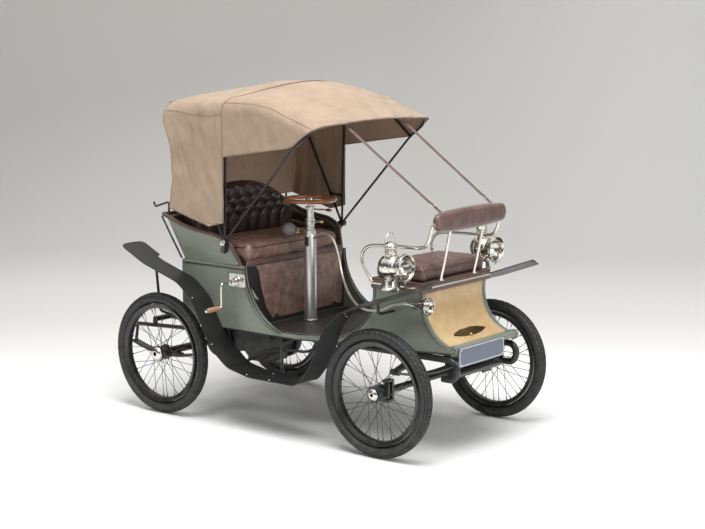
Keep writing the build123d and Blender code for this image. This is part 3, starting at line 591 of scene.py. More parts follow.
def make_stage():
    """A pale floor that curves up into a backdrop far behind, greyer to its left: the grey is
    painted shade.
    """
    s = np.linspace(0, 1, 40)
    run = np.where(s < 0.6, -9 + s / 0.6 * 15, 6 + 3 * np.sin((s - 0.6) / 0.4 * TAU / 4))
    rise = np.where(s < 0.6, 0, 3 * (1 - np.cos((s - 0.6) / 0.4 * TAU / 4)))
    wide = np.linspace(-12, 12, 9)
    turn = math.radians(VIEW_TURN)
    fwd = np.array([-math.sin(turn), math.cos(turn), 0])
    rgt = np.array([math.cos(turn), math.sin(turn), 0])
    grid = (run[:, None, None] * fwd + wide[None, :, None] * rgt
            + rise[:, None, None] * np.array([0, 0, 1.0]))
    v, f, t = skin(grid)
    mesh = bpy.data.meshes.new("studio_floor")
    mesh.from_pydata(v.tolist(), [], [q for a in f for q in a.tolist()])
    mesh.shade_smooth()
    obj = bpy.data.objects.new("studio_floor", mesh)
    bpy.context.collection.objects.link(obj)
    mat = bpy.data.materials.new("studio_floor")
    mat.use_nodes = True
    n, l = mat.node_tree.nodes, mat.node_tree.links
    b = n["Principled BSDF"]
    b.inputs["Roughness"].default_value = 0.75
    b.inputs["Specular IOR Level"].default_value = 0.2
    tex = n.new("ShaderNodeTexCoord")
    fac = noise_node(n, l, tex.outputs["Object"], 0.7, 3)
    pale = mix_node(n, l, fac, (0.93, 0.93, 0.93), (0.97, 0.97, 0.97))
    way = dot_node(n, l, tex.outputs["Object"], fwd + np.array([0.0, 0.0, 1.0]))
    far = step_node(n, l, way, -0.3, 3.3)
    # The backdrop greys towards its left: painted shade.
    side = step_node(n, l, dot_node(n, l, tex.outputs["Object"], rgt), 0.4, 4.2)
    wall = mix_node(n, l, side, (0.69, 0.676, 0.660), (0.90, 0.90, 0.90))
    l.new(mix_node(n, l, far, pale, wall), b.inputs["Base Color"])
    mesh.materials.append(mat)


def make_world():
    """Soft white all round. Glossy rays see a room: pale below and overhead, grey
    between, so that plated metal has dark bands."""
    world = bpy.data.worlds.new("studio")
    bpy.context.scene.world = world
    world.use_nodes = True
    n, l = world.node_tree.nodes, world.node_tree.links
    n.clear()
    out, plain, bright = (n.new("ShaderNodeOutputWorld"), n.new("ShaderNodeBackground"),
                          n.new("ShaderNodeBackground"))
    plain.inputs["Color"].default_value = (1.0, 0.985, 0.96, 1)
    plain.inputs["Strength"].default_value = 0.30
    bright.inputs["Color"].default_value = (1, 1, 1, 1)
    bright.inputs["Strength"].default_value = 1.0
    path, mix = n.new("ShaderNodeLightPath"), n.new("ShaderNodeMixShader")
    see = math_node(n, l, "ADD", path.outputs["Is Camera Ray"],
                    path.outputs["Is Transmission Ray"], True)
    l.new(see, mix.inputs[0])
    l.new(plain.outputs[0], mix.inputs[1])
    l.new(bright.outputs[0], mix.inputs[2])
    room, last = n.new("ShaderNodeBackground"), n.new("ShaderNodeMixShader")
    ways = n.new("ShaderNodeSeparateXYZ")
    l.new(n.new("ShaderNodeTexCoord").outputs["Generated"], ways.inputs[0])
    high = step_node(n, l, ways.outputs["Z"], 0.30, 0.75)
    low = step_node(n, l, ways.outputs["Z"], 0.02, -0.10)
    both = math_node(n, l, "ADD", high, low, True)
    l.new(mix_node(n, l, both, (0.13, 0.125, 0.115), (1.0, 0.99, 0.97)), room.inputs["Color"])
    l.new(path.outputs["Is Glossy Ray"], last.inputs[0])
    l.new(mix.outputs[0], last.inputs[1])
    l.new(room.outputs[0], last.inputs[2])
    l.new(last.outputs[0], out.inputs[0])


def area_light(name, place, target, size, power, mirrored=True):
    """A soft box that looks at a point."""
    data = bpy.data.lights.new(name, "AREA")
    data.shape, data.size, data.energy = "SQUARE", size, power
    obj = bpy.data.objects.new(name, data)
    obj.location = place
    obj.rotation_euler = (Vector(target) - Vector(place)).to_track_quat("-Z", "Y").to_euler()
    obj.visible_glossy = mirrored
    bpy.context.collection.objects.link(obj)


def make_camera():
    """The photograph's own viewpoint."""
    data = bpy.data.cameras.new("camera")
    data.lens, data.sensor_width = 80.74, 36.0
    data.clip_end = 100
    cam = bpy.data.objects.new("camera", data)
    cam.location = (5.586, -6.881, 2.264)
    aim = Vector((0.185, 0.0, 0.888)) - cam.location
    cam.rotation_euler = aim.to_track_quat("-Z", "Y").to_euler()
    bpy.context.collection.objects.link(cam)
    bpy.context.scene.camera = cam


make_stage()
make_world()
make_camera()
area_light("key", (1.2, -1.6, 6.6), (0, 0, 0.7), 4.2, 500)
area_light("fill", (6.0, -1.0, 3.2), (0, 0, 0.7), 4.0, 105)
area_light("side", (-0.5, -6.5, 3.6), (0, 0, 0.8), 4.0, 45)
area_light("back", (-4.5, 3.0, 5.5), (0, 0, 0.9), 4.0, 170, mirrored=False)
bpy.context.scene.view_settings.view_transform = "Standard"


# Wheels.

AXLE_X, WHEEL_Y = 0.779, 0.547


def tyre_form(radius, x, y):
    """Tyre about the Y axis. The section is a rounded loop of angle s: width
    0.036 cos s, height 0.036 sin s above the rim. Tread blocks are steps of the
    turning angle and s, alternate rows staggered by half a block, 4 mm deep."""
    blocks, fine = 54, 8
    turn = np.arange(blocks * fine) * TAU / (blocks * fine)
    tread = np.radians([24, 30, 31, 52, 53, 57, 58, 86, 87])
    tread = np.concatenate([tread, [TAU / 4 + math.radians(1.5)], (TAU / 2 - tread[::-1])[1:]])
    low = np.linspace(TAU / 2 - math.radians(12), TAU + math.radians(12), 18)
    s = np.concatenate([tread, low])
    deg = np.degrees(s)
    row = np.select([(deg > 30.5) & (deg < 52.5), (deg > 57.5) & (deg < 86.5),
                     (deg > 93) & (deg < 122.5), (deg > 127.5) & (deg < 149.5)],
                    [1, 2, 3, 4], 0)
    phase = (turn[:, None] / TAU * blocks + np.where(row % 2 == 1, 0.5, 0.0)) % 1.0
    block = (row > 0) & (phase < 0.70)
    inside = np.abs(deg - 90) < 66
    depth = np.where(inside & ~block, 0.0042, 0.0)
    wide = np.where(np.sin(s) > 0, 1.0, 1.0 + 0.35 * np.sin(s))
    across = 0.0362 * np.cos(s) * wide
    high = np.where(np.sin(s) > 0, 0.036, 0.029) * np.sin(s)
    out_y = across[None, :] - np.cos(s)[None, :] * depth
    out_r = radius - 0.036 + high[None, :] - np.sin(s)[None, :] * depth
    grid = np.stack([x + out_r * np.cos(turn)[:, None], y + out_y + 0 * out_r,
                     radius + out_r * np.sin(turn)[:, None]], -1)
    return skin(grid, round_u=True, round_v=True)


def rods(starts, ends, r, n=6):
    """Many straight round rods at once: a ring of n points at each end of each."""
    a, b = np.asarray(starts, float), np.asarray(ends, float)
    t = unit(b - a)
    ref = np.where(np.abs(t[:, 1:2]) < 0.9, [[0.0, 1.0, 0.0]], [[1.0, 0.0, 0.0]])
    s = unit(np.cross(t, ref))
    q = np.cross(t, s)
    ang = np.arange(n) * TAU / n
    ring = r * (np.cos(ang)[None, :, None] * s[:, None, :]
                + np.sin(ang)[None, :, None] * q[:, None, :])
    v = np.stack([a[:, None, :] + ring, b[:, None, :] + ring], 1).reshape(-1, 3)
    k = np.arange(len(a))[:, None] * 2 * n
    i = np.arange(n)[None, :]
    j = (i + 1) % n
    side = np.stack([k + i, k + j, k + n + j, k + n + i], -1).reshape(-1, 4)
    caps = [k + i[:, ::-1], k + n + i]
    uv = np.tile([[0.0, 0.0]], (len(v), 1))
    return v, [side] + caps, uv


def wheel_form(radius, x, y):
    """Rim, hub barrel with two flanges, 36 crossed wire spokes and their nipples.
    Spoke i leaves a flange at its angle plus or minus 70 degrees of lead."""
    rim_in, seat = radius - 0.090, radius - 0.0663
    rim = turned([(-0.0170, rim_in), (-0.0265, seat - 0.006), (-0.0275, seat),
                  (-0.024, seat + 0.0005),
                  (-0.020, seat - 0.002), (0.020, seat - 0.002), (0.024, seat + 0.0005),
                  (0.0275, seat), (0.0265, seat - 0.006), (0.0170, rim_in),
                  (0.009, rim_in - 0.0022),
                  (-0.009, rim_in - 0.0022), (-0.0170, rim_in)], (x, y, radius), "Y", 120)
    ring = (rim[0][:13 * 120], rim[1][:1], rim[2][:13 * 120])
    hub = turned([(-0.042, 0.012), (-0.042, 0.024), (-0.035, 0.025), (-0.034, 0.044),
                  (-0.028, 0.044),
                  (-0.026, 0.028), (-0.015, 0.0245), (0, 0.024), (0.015, 0.0245), (0.026, 0.028),
                  (0.028, 0.044), (0.034, 0.044), (0.035, 0.025), (0.040, 0.024), (0.040, 0.012)],
                 (x, y, radius), "Y", 40)
    i = np.arange(36)
    turn = i * TAU / 36
    lead = np.where(i % 4 < 2, 1, -1) * math.radians(70)
    face = np.where(i % 2 == 1, 0.031, -0.031)
    start = np.stack([x + 0.040 * np.cos(turn + lead), y + face,
                      radius + 0.040 * np.sin(turn + lead)], -1)
    end = np.stack([x + (rim_in + 0.002) * np.cos(turn), y + face * 0.25,
                    radius + (rim_in + 0.002) * np.sin(turn)], -1)
    wires = rods(start, end, 0.0017)
    run = unit(end - start)
    nipples = rods(end - run * 0.020, end, 0.0032)
    heads = rods(start - run * 0.004, start + run * 0.010, 0.0026)
    return together(ring, hub, wires, nipples, heads)


def cap_form(radius, x, y, out, r, end):
    """Domed hub cap with a hexagon and a collar, turned about Y."""
    prof = [(0.0402, r * 0.80), (0.0402, r), (0.043, r), (0.045, r * 0.93),
            (end - 0.010, r * 0.90),
            (end - 0.006, r * 0.82), (end - 0.002, r * 0.6), (end, r * 0.3)]
    prof = [(out * a, b) for a, b in prof]
    dome = turned(prof, (x, y, radius), "Y", 40)
    nut = turned([(out * (end - 0.004), r * 0.42), (out * end, r * 0.42), (out * end, r * 0.1)],
                 (x, y, radius), "Y", 6)
    return together(dome, nut)


for end, x, radius, cap_r, cap_end in (("front", AXLE_X, 0.340, 0.032, 0.052),
                                       ("rear", -AXLE_X, 0.350, 0.041, 0.059)):
    for sign, side in SIDES:
        body = f"wheel_{end}_{side}"
        y = sign * WHEEL_Y
        piece(f"treaded_tyre_{end}_{side}", tyre_form(radius, x, y), TYRE,
              [f"tyre_{end}_{side}"], body, sharp=50)
        piece(f"wire_wheel_{end}_{side}", wheel_form(radius, x, y), WHEEL_BLACK,
              [f"wheel_{end}_{side}"], body)
        piece(f"hub_cap_{end}_{side}", cap_form(radius, x, y, sign, cap_r, cap_end), NICKEL,
              body=body)


# The horn's hose, a free line from the column to the horn.

HOSE_ROUTE = [
    (-0.066, -0.028, 1.022), (-0.016, -0.036, 1.052), (0.040, -0.044, 1.057),
              (0.090, -0.051, 1.028),
    (0.122, -0.056, 0.968), (0.146, -0.062, 0.896), (0.186, -0.092, 0.830), (0.256, -0.150, 0.785),
    (0.344, -0.222, 0.752), (0.438, -0.290, 0.728), (0.536, -0.330, 0.714), (0.640, -0.338, 0.727),
    (0.722, -0.345, 0.770), (0.8055, -0.345, 0.785)]
curve = bpy.data.curves.new("horn_hose", "CURVE")
curve.dimensions = "3D"
curve.resolution_u = 14
curve.bevel_depth = 0.0068
curve.bevel_resolution = 4
line = curve.splines.new("NURBS")
line.points.add(len(HOSE_ROUTE) - 1)
for point, place in zip(line.points, HOSE_ROUTE):
    point.co = (*place, 1.0)
line.order_u = 3
line.use_endpoint_u = True
curve.materials.append(HOSE)
hose = bpy.data.objects.new("horn_hose", curve)
bpy.context.collection.objects.link(hose)
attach(hose, "chassis")
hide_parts("horn_tube")


# Shared shapes for the body.

def arc3(a, b, c, n=16):
    """n points on the circle through three points of a plane: centre from the two
    perpendicular bisectors, then even angles from a to c through b."""
    a, b, c = (np.asarray(p, float) for p in (a, b, c))
    m = 2 * np.array([b - a, c - a])
    centre = np.linalg.solve(m, np.array([b @ b - a @ a, c @ c - a @ a]))
    ang = [math.atan2(*(p - centre)[::-1]) for p in (a, b, c)]
    full = (ang[2] - ang[0]) % TAU
    if (ang[1] - ang[0]) % TAU > full:
        full -= TAU
    t = ang[0] + np.linspace(0, 1, n) * full
    r = np.linalg.norm(a - centre)
    return centre + r * np.stack([np.cos(t), np.sin(t)], -1)


def bent(rows, step=0.02):
    """A line through rows of (x, z, radius), its corners turned on that radius.
    The tangent length at a corner is radius * tan(half the turn)."""
    out = [np.array(rows[0][:2])]
    for a, b, c in zip(rows, rows[1:], rows[2:]):
        p, q, s = (np.array(v[:2]) for v in (a, b, c))
        u, w = (p - q) / np.linalg.norm(p - q), (s - q) / np.linalg.norm(s - q)
        half = (math.pi - math.acos(np.clip(u @ w, -1, 1))) / 2
        cut = b[2] * math.tan(half)
        mid = q + (u + w) / np.linalg.norm(u + w) * (b[2] / math.cos(half) - b[2])
        out += list(arc3(q + u * cut, mid, q + w * cut, max(4, int(b[2] * 2 * half / step) + 2)))
    out.append(np.array(rows[-1][:2]))
    return np.array(out)


def evenly(path, n):
    """The path sampled again at n even distances."""
    p = np.asarray(path, float)
    d = np.r_[0, np.cumsum(np.linalg.norm(np.diff(p, axis=0), axis=1))]
    keep = np.r_[True, np.diff(d) > 1e-9]
    t = np.linspace(0, d[-1], n)
    return np.stack([np.interp(t, d[keep], p[keep, k]) for k in range(p.shape[1])], -1)


PLAN_X, PLAN_Y = (-0.700, 0.150, 0.550, 1.110), (0.450, 0.450, 0.303, 0.288)


def side_y(x):
    """Half width of the body's outer face at a station."""
    return np.interp(x, PLAN_X, PLAN_Y)


def on_side(path, off=0.0):
    """Side view points (x, z) put on the left side's outer face."""
    p = np.asarray(path, float)
    return np.stack([p[:, 0], side_y(p[:, 0]) + off, p[:, 1]], -1)


def straight(a, b, n):
    """n even points from a to b."""
    return evenly(np.array([a, b]), n)


def half_round(r):
    """Half a circle that stands on its flat, for mouldings."""
    a = np.linspace(0, math.pi, 9)
    return np.stack([r * np.cos(a), r * np.sin(a)], -1)


U_REAR = arc3((-0.222, 0.885), (-0.160, 0.690), (0.030, 0.550), 26)
U_FRONT = arc3((0.330, 0.553), (0.505, 0.650), (0.563, 0.838), 26)

# Beads round the side opening, along the nose and along the sill.
opening = np.vstack([U_REAR, U_FRONT])
inset = np.vstack([arc3((-0.234, 0.885), (-0.171, 0.683), (0.028, 0.5425), 26),
                   arc3((0.332, 0.5455), (0.514, 0.645), (0.575, 0.838), 26)])
bead = along(evenly(on_side(inset), 90), half_round(0.0042), up=(0, 1, 0), closed=False)
lip = along(evenly(on_side(opening, -0.004), 90), circle(10, 0.0048), up=(0, 1, 0))
piece("opening_bead", both_sides(bead), PAINT_DARK, sharp=60)
piece("opening_lip", both_sides(lip), IRON, sharp=60)
piece("opening_welt", both_sides(along(evenly(on_side(opening, -0.0135), 90), circle(8, 0.0042),
                                       up=(0, 1, 0))),
      PAINT, sharp=60)
nose_in = arc3((0.871, 0.836), (0.900, 0.668), (1.031, 0.566), 26)
piece("nose_bead", both_sides(along(evenly(on_side(nose_in), 40), half_round(0.0036),
      up=(0, 1, 0), closed=False)), PAINT_DARK, sharp=60)
sill = np.stack([np.linspace(-0.697, 0.835, 60), np.full(60, 0.5275)], -1)
piece("sill_bead", both_sides(along(on_side(sill, 0.0005), circle(8, 0.0042), up=(0, 1, 0))),
      IRON, sharp=60)
sill_x = np.linspace(0.836, 1.072, 14)
nose_sill = np.stack([sill_x, 0.5275 + (sill_x - 0.836) * 0.0571], -1)
piece("nose_sill_bead", both_sides(along(on_side(nose_sill, 0.0005),
      circle(8, 0.0035), up=(0, 1, 0))), PAINT_DARK, sharp=60)

# Belt moulding all round the back seat, over the joint with the flared surround.
belt = [(-0.226, 0.4515), (-0.30, 0.4515), (-0.688, 0.4515), (-0.7015, 0.440), (-0.7015, 0.0)]
belt = evenly(np.array(belt), 60)
belt = np.vstack([belt, (belt * [1, -1])[::-1][1:]])
belt = np.c_[belt, np.full(len(belt), 0.8855)]
piece("belt_moulding", along(belt, circle(14, 0.0082)), PAINT, sharp=60)
piece("belt_shadow_bead", along(belt - [0, 0, 0.0125], circle(8, 0.0032)), PAINT_DARK, sharp=60)

# Volutes where the nose sides curl up, spirals of radius 26 mm falling to 6 mm.
t = np.linspace(0, 1, 60)
ang = math.radians(-115) + t * math.radians(560)
rad = 0.026 - 0.020 * t
spiral = np.stack([1.073 + rad * np.cos(ang), 0.5585 + rad * np.sin(ang)], -1)
volute = along(at_y(spiral, 0.2925), circle(10, 0.0048), up=(0, 1, 0),
               scale=np.linspace(1, 0.7, 60))
eye = turned([(0.2815, 0.0085), (0.2925, 0.0085), (0.2955, 0.006), (0.2960, 0.002)],
             (1.073, 0, 0.5585), "Y", 20)
piece("nose_volutes", both_sides(together(volute, eye)), PAINT, sharp=60)

# Curved front face: tan hide inside a painted border, and the painted board below.
face = arc3((0.881, 0.8355), (0.9075, 0.6735), (1.034, 0.572), 40)
FACE_U = np.linspace(0, 1, len(face))
out_n = line_normal(face)
out_n *= np.sign(out_n[20, 0])
wide = np.linspace(-0.262, 0.262, 60)


def face_grid(y, lift):
    """A sheet lying on the curved front face, raised by lift(u, y)."""
    u = FACE_U[:, None]
    h = lift(u, y[None, :]) + 0 * u * y
    return np.stack([face[:, :1] + out_n[:, :1] * h, np.broadcast_to(y, h.shape),
                     face[:, 1:] + out_n[:, 1:] * h], -1)


def on_face(u, table):
    """A table of the front face's two side view measures, read at u."""
    return [np.interp(u, FACE_U, table[:, k]) for k in (0, 1)]


def puff(u, y):
    """Hide stretched over thin padding: flat, sinking to the board at its edges."""
    edge = np.minimum(np.minimum(u * 12, (1 - u) * 12), np.minimum((0.262 - y) * 50,
                                                                   (0.262 + y) * 50))
    wave = 0.0007 * np.sin(38 * y + 3 * u) * np.sin(9 * u + 1.3)
    return 0.001 + 0.004 * np.sqrt(np.clip(edge, 0, 1)) + wave * np.clip(edge, 0, 1)


def border_lift(u, y):
    """The border's rounded edge, highest along its middle."""
    return 0.0045 - ((np.abs(y) - 0.2725) / 0.0085) ** 2 * 0.004


hide_face = skin(face_grid(wide, puff))
board_face = skin(face_grid(np.linspace(-0.280, 0.280, 8), lambda u, y: 0.0004 + 0 * u * y))
edges = [skin(face_grid(np.linspace(0.264, 0.281, 6) * sign, border_lift)) for sign in (-1, 1)]
piece("front_panel_hide", hide_face, HIDE_TAN, replaces=["front_panel"],
      outward=False)
piece("front_panel_border", together(board_face, *edges), PAINT, outward=False)
back = skin(np.stack([at_y(face - [0.010, 0.004], y) for y in (0.280, -0.280)]))
piece("front_panel_back", back, BOARDS, outward=False)

# Lens-shaped flap low on the front face with a brass knob near its middle.
k = np.linspace(-1, 1, 40)
half_h = 0.030 * (1 - k ** 2) ** 0.75 + 0.0004
lens_rows = []
for v in np.linspace(-1, 1, 9):
    u = 0.80 + v * half_h / 0.33
    (fx, fz), (nx, nz) = on_face(u, face), on_face(u, out_n)
    lift = 0.0085 - 0.0035 * v ** 2
    lens_rows.append(np.stack([fx + nx * lift, k * 0.150, fz + nz * lift], -1))
piece("front_flap", skin(np.array(lens_rows)), GOLD_DARK, outward=False)
kx, kz = on_face(0.83, face)
knob = turned([(0.006, 0.004), (0.014, 0.004), (0.016, 0.009), (0.022, 0.010), (0.026, 0.006),
               (0.027, 0.001)], (kx, -0.02, kz), "X", 20)
piece("front_flap_knob", knob, BRASS)

# Painted board between the volutes, over the plate.
low = np.array([(1.036, 0.5735), (1.070, 0.5785), (1.0915, 0.571), (1.0965, 0.557),
                (1.088, 0.5445), (1.071, 0.5385)])
low = smooth_path(low, 24)
rows = np.stack([at_y(low, y) for y in np.linspace(-0.281, 0.281, 12)])
piece("nose_board", skin(rows), PAINT, outward=False)


# Fenders: a swept blade. Width in plan follows the distance along it.

FENDER_ROWS = [(-1.048, 0.958, 0), (-0.860, 0.866, 0.300), (-0.600, 0.786, 0.200),
               (-0.492, 0.700, 0.160),
               (-0.345, 0.438, 0.180), (-0.225, 0.345, 0.150), (-0.060, 0.312, 0.300),
               (0.270, 0.312, 0.070),
               (0.368, 0.430, 0.150), (0.455, 0.640, 0.180), (0.560, 0.752, 0.160),
               (0.790, 0.824, 0.300), (1.078, 0.928, 0)]


def fender_form():
    """The left fender. At distance s the blade spans y from inner(s) to outer(s): the
    rear end is squared with round corners, the front end a long rounded blade, each
    corner a quarter ellipse. The front part leans outward by up to 13 mm at each edge. A
    rolled hem of 3 mm runs round the edge."""
    p = evenly(bent(FENDER_ROWS, 0.012), 260)
    s = np.linspace(0, 1, 260) * np.linalg.norm(np.diff(p, axis=0), axis=1).sum()
    end = s[-1]
    outer, inner = np.full(260, 0.600), np.full(260, 0.421)
    keep = side_y(p[:, 0]) + 0.0008
    inner = np.where((p[:, 1] > 0.520) & (p[:, 1] < 0.888), np.maximum(inner, keep), inner)

    def corner(d, run):
        return 1 - np.sqrt(np.clip(1 - (1 - np.clip(d / run, 0, 1)) ** 2, 0, 1))
    outer -= 0.034 * corner(s, 0.045) + 0.098 * corner(end - s, 0.240)
    inner += 0.026 * corner(s, 0.035) + 0.052 * corner(end - s, 0.190)
    up = line_normal(p)
    v = np.linspace(0, 1, 15)
    y = inner[:, None] + (outer - inner)[:, None] * v
    crown = 0.0022 * (1 - (2 * v - 1) ** 2)[None, :] + 0 * y
    grids = []
    for base in (0.0042, 0.0008):
        lean = np.interp(p[:, 0], (0.36, 0.56, 1.08), (0.0, 0.009, 0.013))[:, None]
        h = base + crown - 0.0016 + lean * (1 - 2 * v[None, :])
        grids.append(np.stack([p[:, 0][:, None] + up[:, 0][:, None] * h, y,
                               p[:, 1][:, None] + up[:, 1][:, None] * h], -1))
    top, under = grids
    loop = np.concatenate([top, under[:, ::-1]], 1)
    shell = skin(loop, round_v=True, caps=True)
    mid = (top + under) / 2
    rim = np.vstack([mid[:, -1], mid[-1, ::-1][1:-1], mid[::-1, 0], mid[0, 1:-1]])
    rim = evenly(np.vstack([rim, rim[:1]]), 561)[:-1]
    hem = along(rim, circle(6, 0.0031), loop=True)
    return together(shell, hem), p, up


blade, fender_line, fender_up = fender_form()
piece("fender_blades", both_sides(blade), FENDER, replaces=["fenders"], sharp=50)
heads = []
for i, y in ((60, 0.585), (70, 0.46), (118, 0.585), (126, 0.455), (134, 0.585), (146, 0.46),
             (158, 0.585), (88, 0.585), (198, 0.46), (201, 0.50)):
    at = fender_line[i] + fender_up[i] * 0.0045
    heads.append(turned([(-0.001, 0.0062), (0.0012, 0.0062), (0.003, 0.0045), (0.0038, 0.001)],
                        (at[0], y, at[1]), "Z", 10))
piece("fender_bolts", both_sides(together(*heads)), NICKEL)


# Hood: sheets of canvas over the bows.

HOOD_X = (-0.790, -0.676, -0.293, -0.069, 0.055, 0.400)
HOOD_SIDE_Z = (1.768, 1.790, 1.820, 1.820, 1.800, 1.672)
HOOD_TOP_Z = (1.800, 1.839, 1.901, 1.905, 1.878, 1.698)
HOOD_HALF = 0.541
BACK_Z, BACK_X = (1.10, 1.193, 1.361, 1.531, 1.675, 1.760, 1.960), (-0.712, -0.707, -0.677, -0.690,
                                                                    -0.746,
                                                                     -0.738, -0.700)
SEAM_X = -0.297


def hood_half(x, inset, low, n):
    """Half of the hood's cross section at x, from height low on the right side up
    over the round shoulder to the middle: an upright line, then two arcs."""
    half = HOOD_HALF - inset
    z, top = np.interp(x, HOOD_X, HOOD_SIDE_Z) - inset, np.interp(x, HOOD_X, HOOD_TOP_Z) - inset
    near = arc3((-half, z - 0.075), (-half + 0.022, z - 0.017), (-half + 0.090, z + 0.012), 40)
    over = arc3((-half + 0.090, z + 0.012), (0.0, top), (half - 0.090, z + 0.012), 161)[:81]
    line = np.vstack([[(-half, 1.0)], near, over[1:]])
    if low > z - 0.075:
        keep = line[:, 1] > low
        first = np.argmax(keep)
        k = (low - line[first - 1, 1]) / (line[first, 1] - line[first - 1, 1])
        line = np.vstack([line[first - 1] + k * (line[first] - line[first - 1]), line[first:]])
    else:
        line[0, 1] = low
    return evenly(line, n)


def hood_grid(xs_at, low_at, inset, nu, nv):
    """The right half of a panel: station u runs back to front, v from the lower edge
    to the middle. xs_at(u, z) gives the station for a height, low_at(x) the edge."""
    table_x = np.linspace(-0.79, 0.40, 120)
    table = np.array([hood_half(x, inset, low_at(x), nv) for x in table_x])
    u = np.linspace(0, 1, nu)[:, None]
    z = np.full((nu, nv), 1.6)
    for _ in range(6):
        x = xs_at(u, z)
        z = np.stack([np.interp(x[:, j], table_x, table[:, j, 1]) for j in range(nv)], -1)
    y = np.stack([np.interp(x[:, j], table_x, table[:, j, 0]) for j in range(nv)], -1)
    return np.stack([x, y, z], -1)


def normals(grid):
    """Unit normal at each point of a grid, from its two gradients."""
    n = np.cross(np.gradient(grid, axis=0), np.gradient(grid, axis=1))
    return n / np.maximum(np.linalg.norm(n, axis=2, keepdims=True), 1e-12)


def rear_x(inset):
    """The rear panel's stations, from the back curtain's outline to the seam."""
    return lambda u, z: (np.interp(z, BACK_Z, BACK_X) + inset) * (1 - u) + SEAM_X * u


def low_rear(x):
    """Lower edge of the rear panel's side."""
    return np.interp(x, (-0.707, -0.407, -0.297), (1.193, 1.113, 1.141))


def low_front(x):
    """The swept arch: nearly level along the side, then up and round to the front."""
    return np.interp(x, (-0.297, -0.08, 0.203, 0.255, 0.315, 0.3715),
                     (1.5035, 1.5375, 1.579, 1.6285, 1.668, 1.7005))


def front_x(u, z):
    """The front panel's stations, from the seam to the front edge."""
    end = np.where(z < 1.7005, 0.372, 0.3718 - (z - 1.70) * 0.277)
    return SEAM_X + (end - SEAM_X) * u


def folds(g):
    """Depth of the canvas's folds, 0 to 5 mm inward: ribs that fan out from the
    curtain's lower front corner, slanting ribs on the sides, a sag between the bows, and
    slow noise of sines."""
    x, y, z = g[..., 0], g[..., 1], g[..., 2]
    side = np.clip((np.abs(y) - 0.40) / 0.12, 0, 1)
    ang = np.arctan2(z - 1.08, -(x + 0.27) + 0.02)
    far = np.hypot(z - 1.08, x + 0.27)
    fan = (0.5 + 0.5 * np.sin(23 * ang + 2.2 * np.sin(5 * far) + 0.6)) ** 1.6
    fan *= np.clip(far * 3.0, 0, 1) * np.exp(-((ang - 1.15) / 0.45) ** 2) * (x < -0.28)
    diag = 0.5 + 0.5 * np.sin(26 * (x * 0.75 + z * 0.66) + 3 * np.sin(4 * z))
    diag *= np.exp(-((z - 1.60) / 0.09) ** 2)
    bows = np.array([-0.64, -0.285, 0.064, 0.33])
    k = np.clip(np.searchsorted(bows, x) - 1, 0, 2)
    t = np.clip((x - bows[k]) / (bows[k + 1] - bows[k]), 0, 1)
    sag = np.sin(math.pi * t) ** 2 * np.clip((z - 1.75) * 20 + (x > 0.05), 0, 1)
    slow = 0.5 + 0.25 * np.sin(9 * x + 6 * z + 1) + 0.25 * np.sin(14 * z - 7 * x + 2 * y)
    pull = 0.5 + 0.5 * np.sin(24 * (x * 0.94 - z * 0.34) + 2.4 * np.sin(5 * z + 2 * x))
    pull *= np.exp(-((z - 1.66) / 0.13) ** 2)
    fine = 0.5 + 0.5 * np.sin(58 * (x * 0.60 + z * 0.80) + 3.1 * np.sin(6 * x - 4 * z))
    fine *= 0.5 + 0.5 * np.sin(11 * x - 8 * z + 2)
    total = (0.0048 * side * fan + 0.0020 * side * diag + 0.0024 * side * pull
             + 0.0024 * sag * (1 - side) + 0.0010 * slow + 0.0026 * side * fine)
    return 0.0052 * np.tanh(total / 0.0052)


def panel(xs_at, low_at, inset, nu, nv, sunk):
    """A whole panel from its right half and the mirror of it."""
    g = hood_grid(xs_at, low_at, inset, nu, nv)
    if sunk:
        n = normals(g)
        n *= np.sign(n[..., 1:2] * g[..., 1:2] + n[..., 2:3] * (g[..., 2:3] - 1.2))
        g = g - n * folds(g)[..., None]
    other = g[:, ::-1][:, 1:] * [1, -1, 1]
    return np.concatenate([g, other], 1)


rear = panel(rear_x(0.0008), low_rear, 0.0008, 70, 120, True)
front = panel(front_x, low_front, 0.0008, 70, 120, True)
rear_in = panel(rear_x(0.0070), low_rear, 0.0070, 40, 70, False)
front_in = panel(front_x, low_front, 0.0070, 40, 70, False)
canvas_rear = piece("hood_canvas_rear", skin(rear), CANVAS, replaces=["hood"],
                    outward=False, uv_scale=(0.5, 2.4), sharp=70)
canvas_front = piece("hood_canvas_front", skin(front), CANVAS, outward=False,
                     uv_scale=(0.7, 1.6), sharp=70)

# Back curtain: x follows the same outline, and bows out between its edges.
bz = np.linspace(1.1935, 1.8, 60)
by = np.linspace(-1, 1, 70)
backs = []
for off, swell in ((0.0008, 1.0), (0.0068, 0.0)):
    half = np.array([np.interp(z, (1.19, 1.715, 1.75, 1.79),
                               (0.5402, 0.5402, 0.530, 0.50)) for z in bz]) - off
    y = half[:, None] * by[None, :]
    top = 1.7905 + 0.0125 * (1 - by ** 2)
    z = 1.1935 + (bz[:, None] - 1.1935) / (1.8 - 1.1935) * (top[None, :] - off - 1.1935)
    fold = 0.5 + 0.5 * np.sin(11 * y + 2.0 * np.sin(6 * z)) * np.sin(4 * z)
    x = np.interp(z, BACK_Z, BACK_X) + off + swell * 0.0035 * fold * (1 - by[None, :] ** 6)
    backs.append(np.stack([x, y, z], -1))
canvas_back = piece("hood_canvas_back", skin(backs[0]), CANVAS, outward=False,
                    uv_scale=(1.2, 2.0), sharp=70)
linings = together(skin(rear_in), skin(front_in), skin(backs[1]))
lining = piece("hood_inner_lining", linings, LINING, outward=False, sharp=70)


def edge_tube(points, r, n, up=(0, 0, 1)):
    """A round cord of n rings along an edge."""
    return along(evenly(points, n), circle(8, r), up=up)


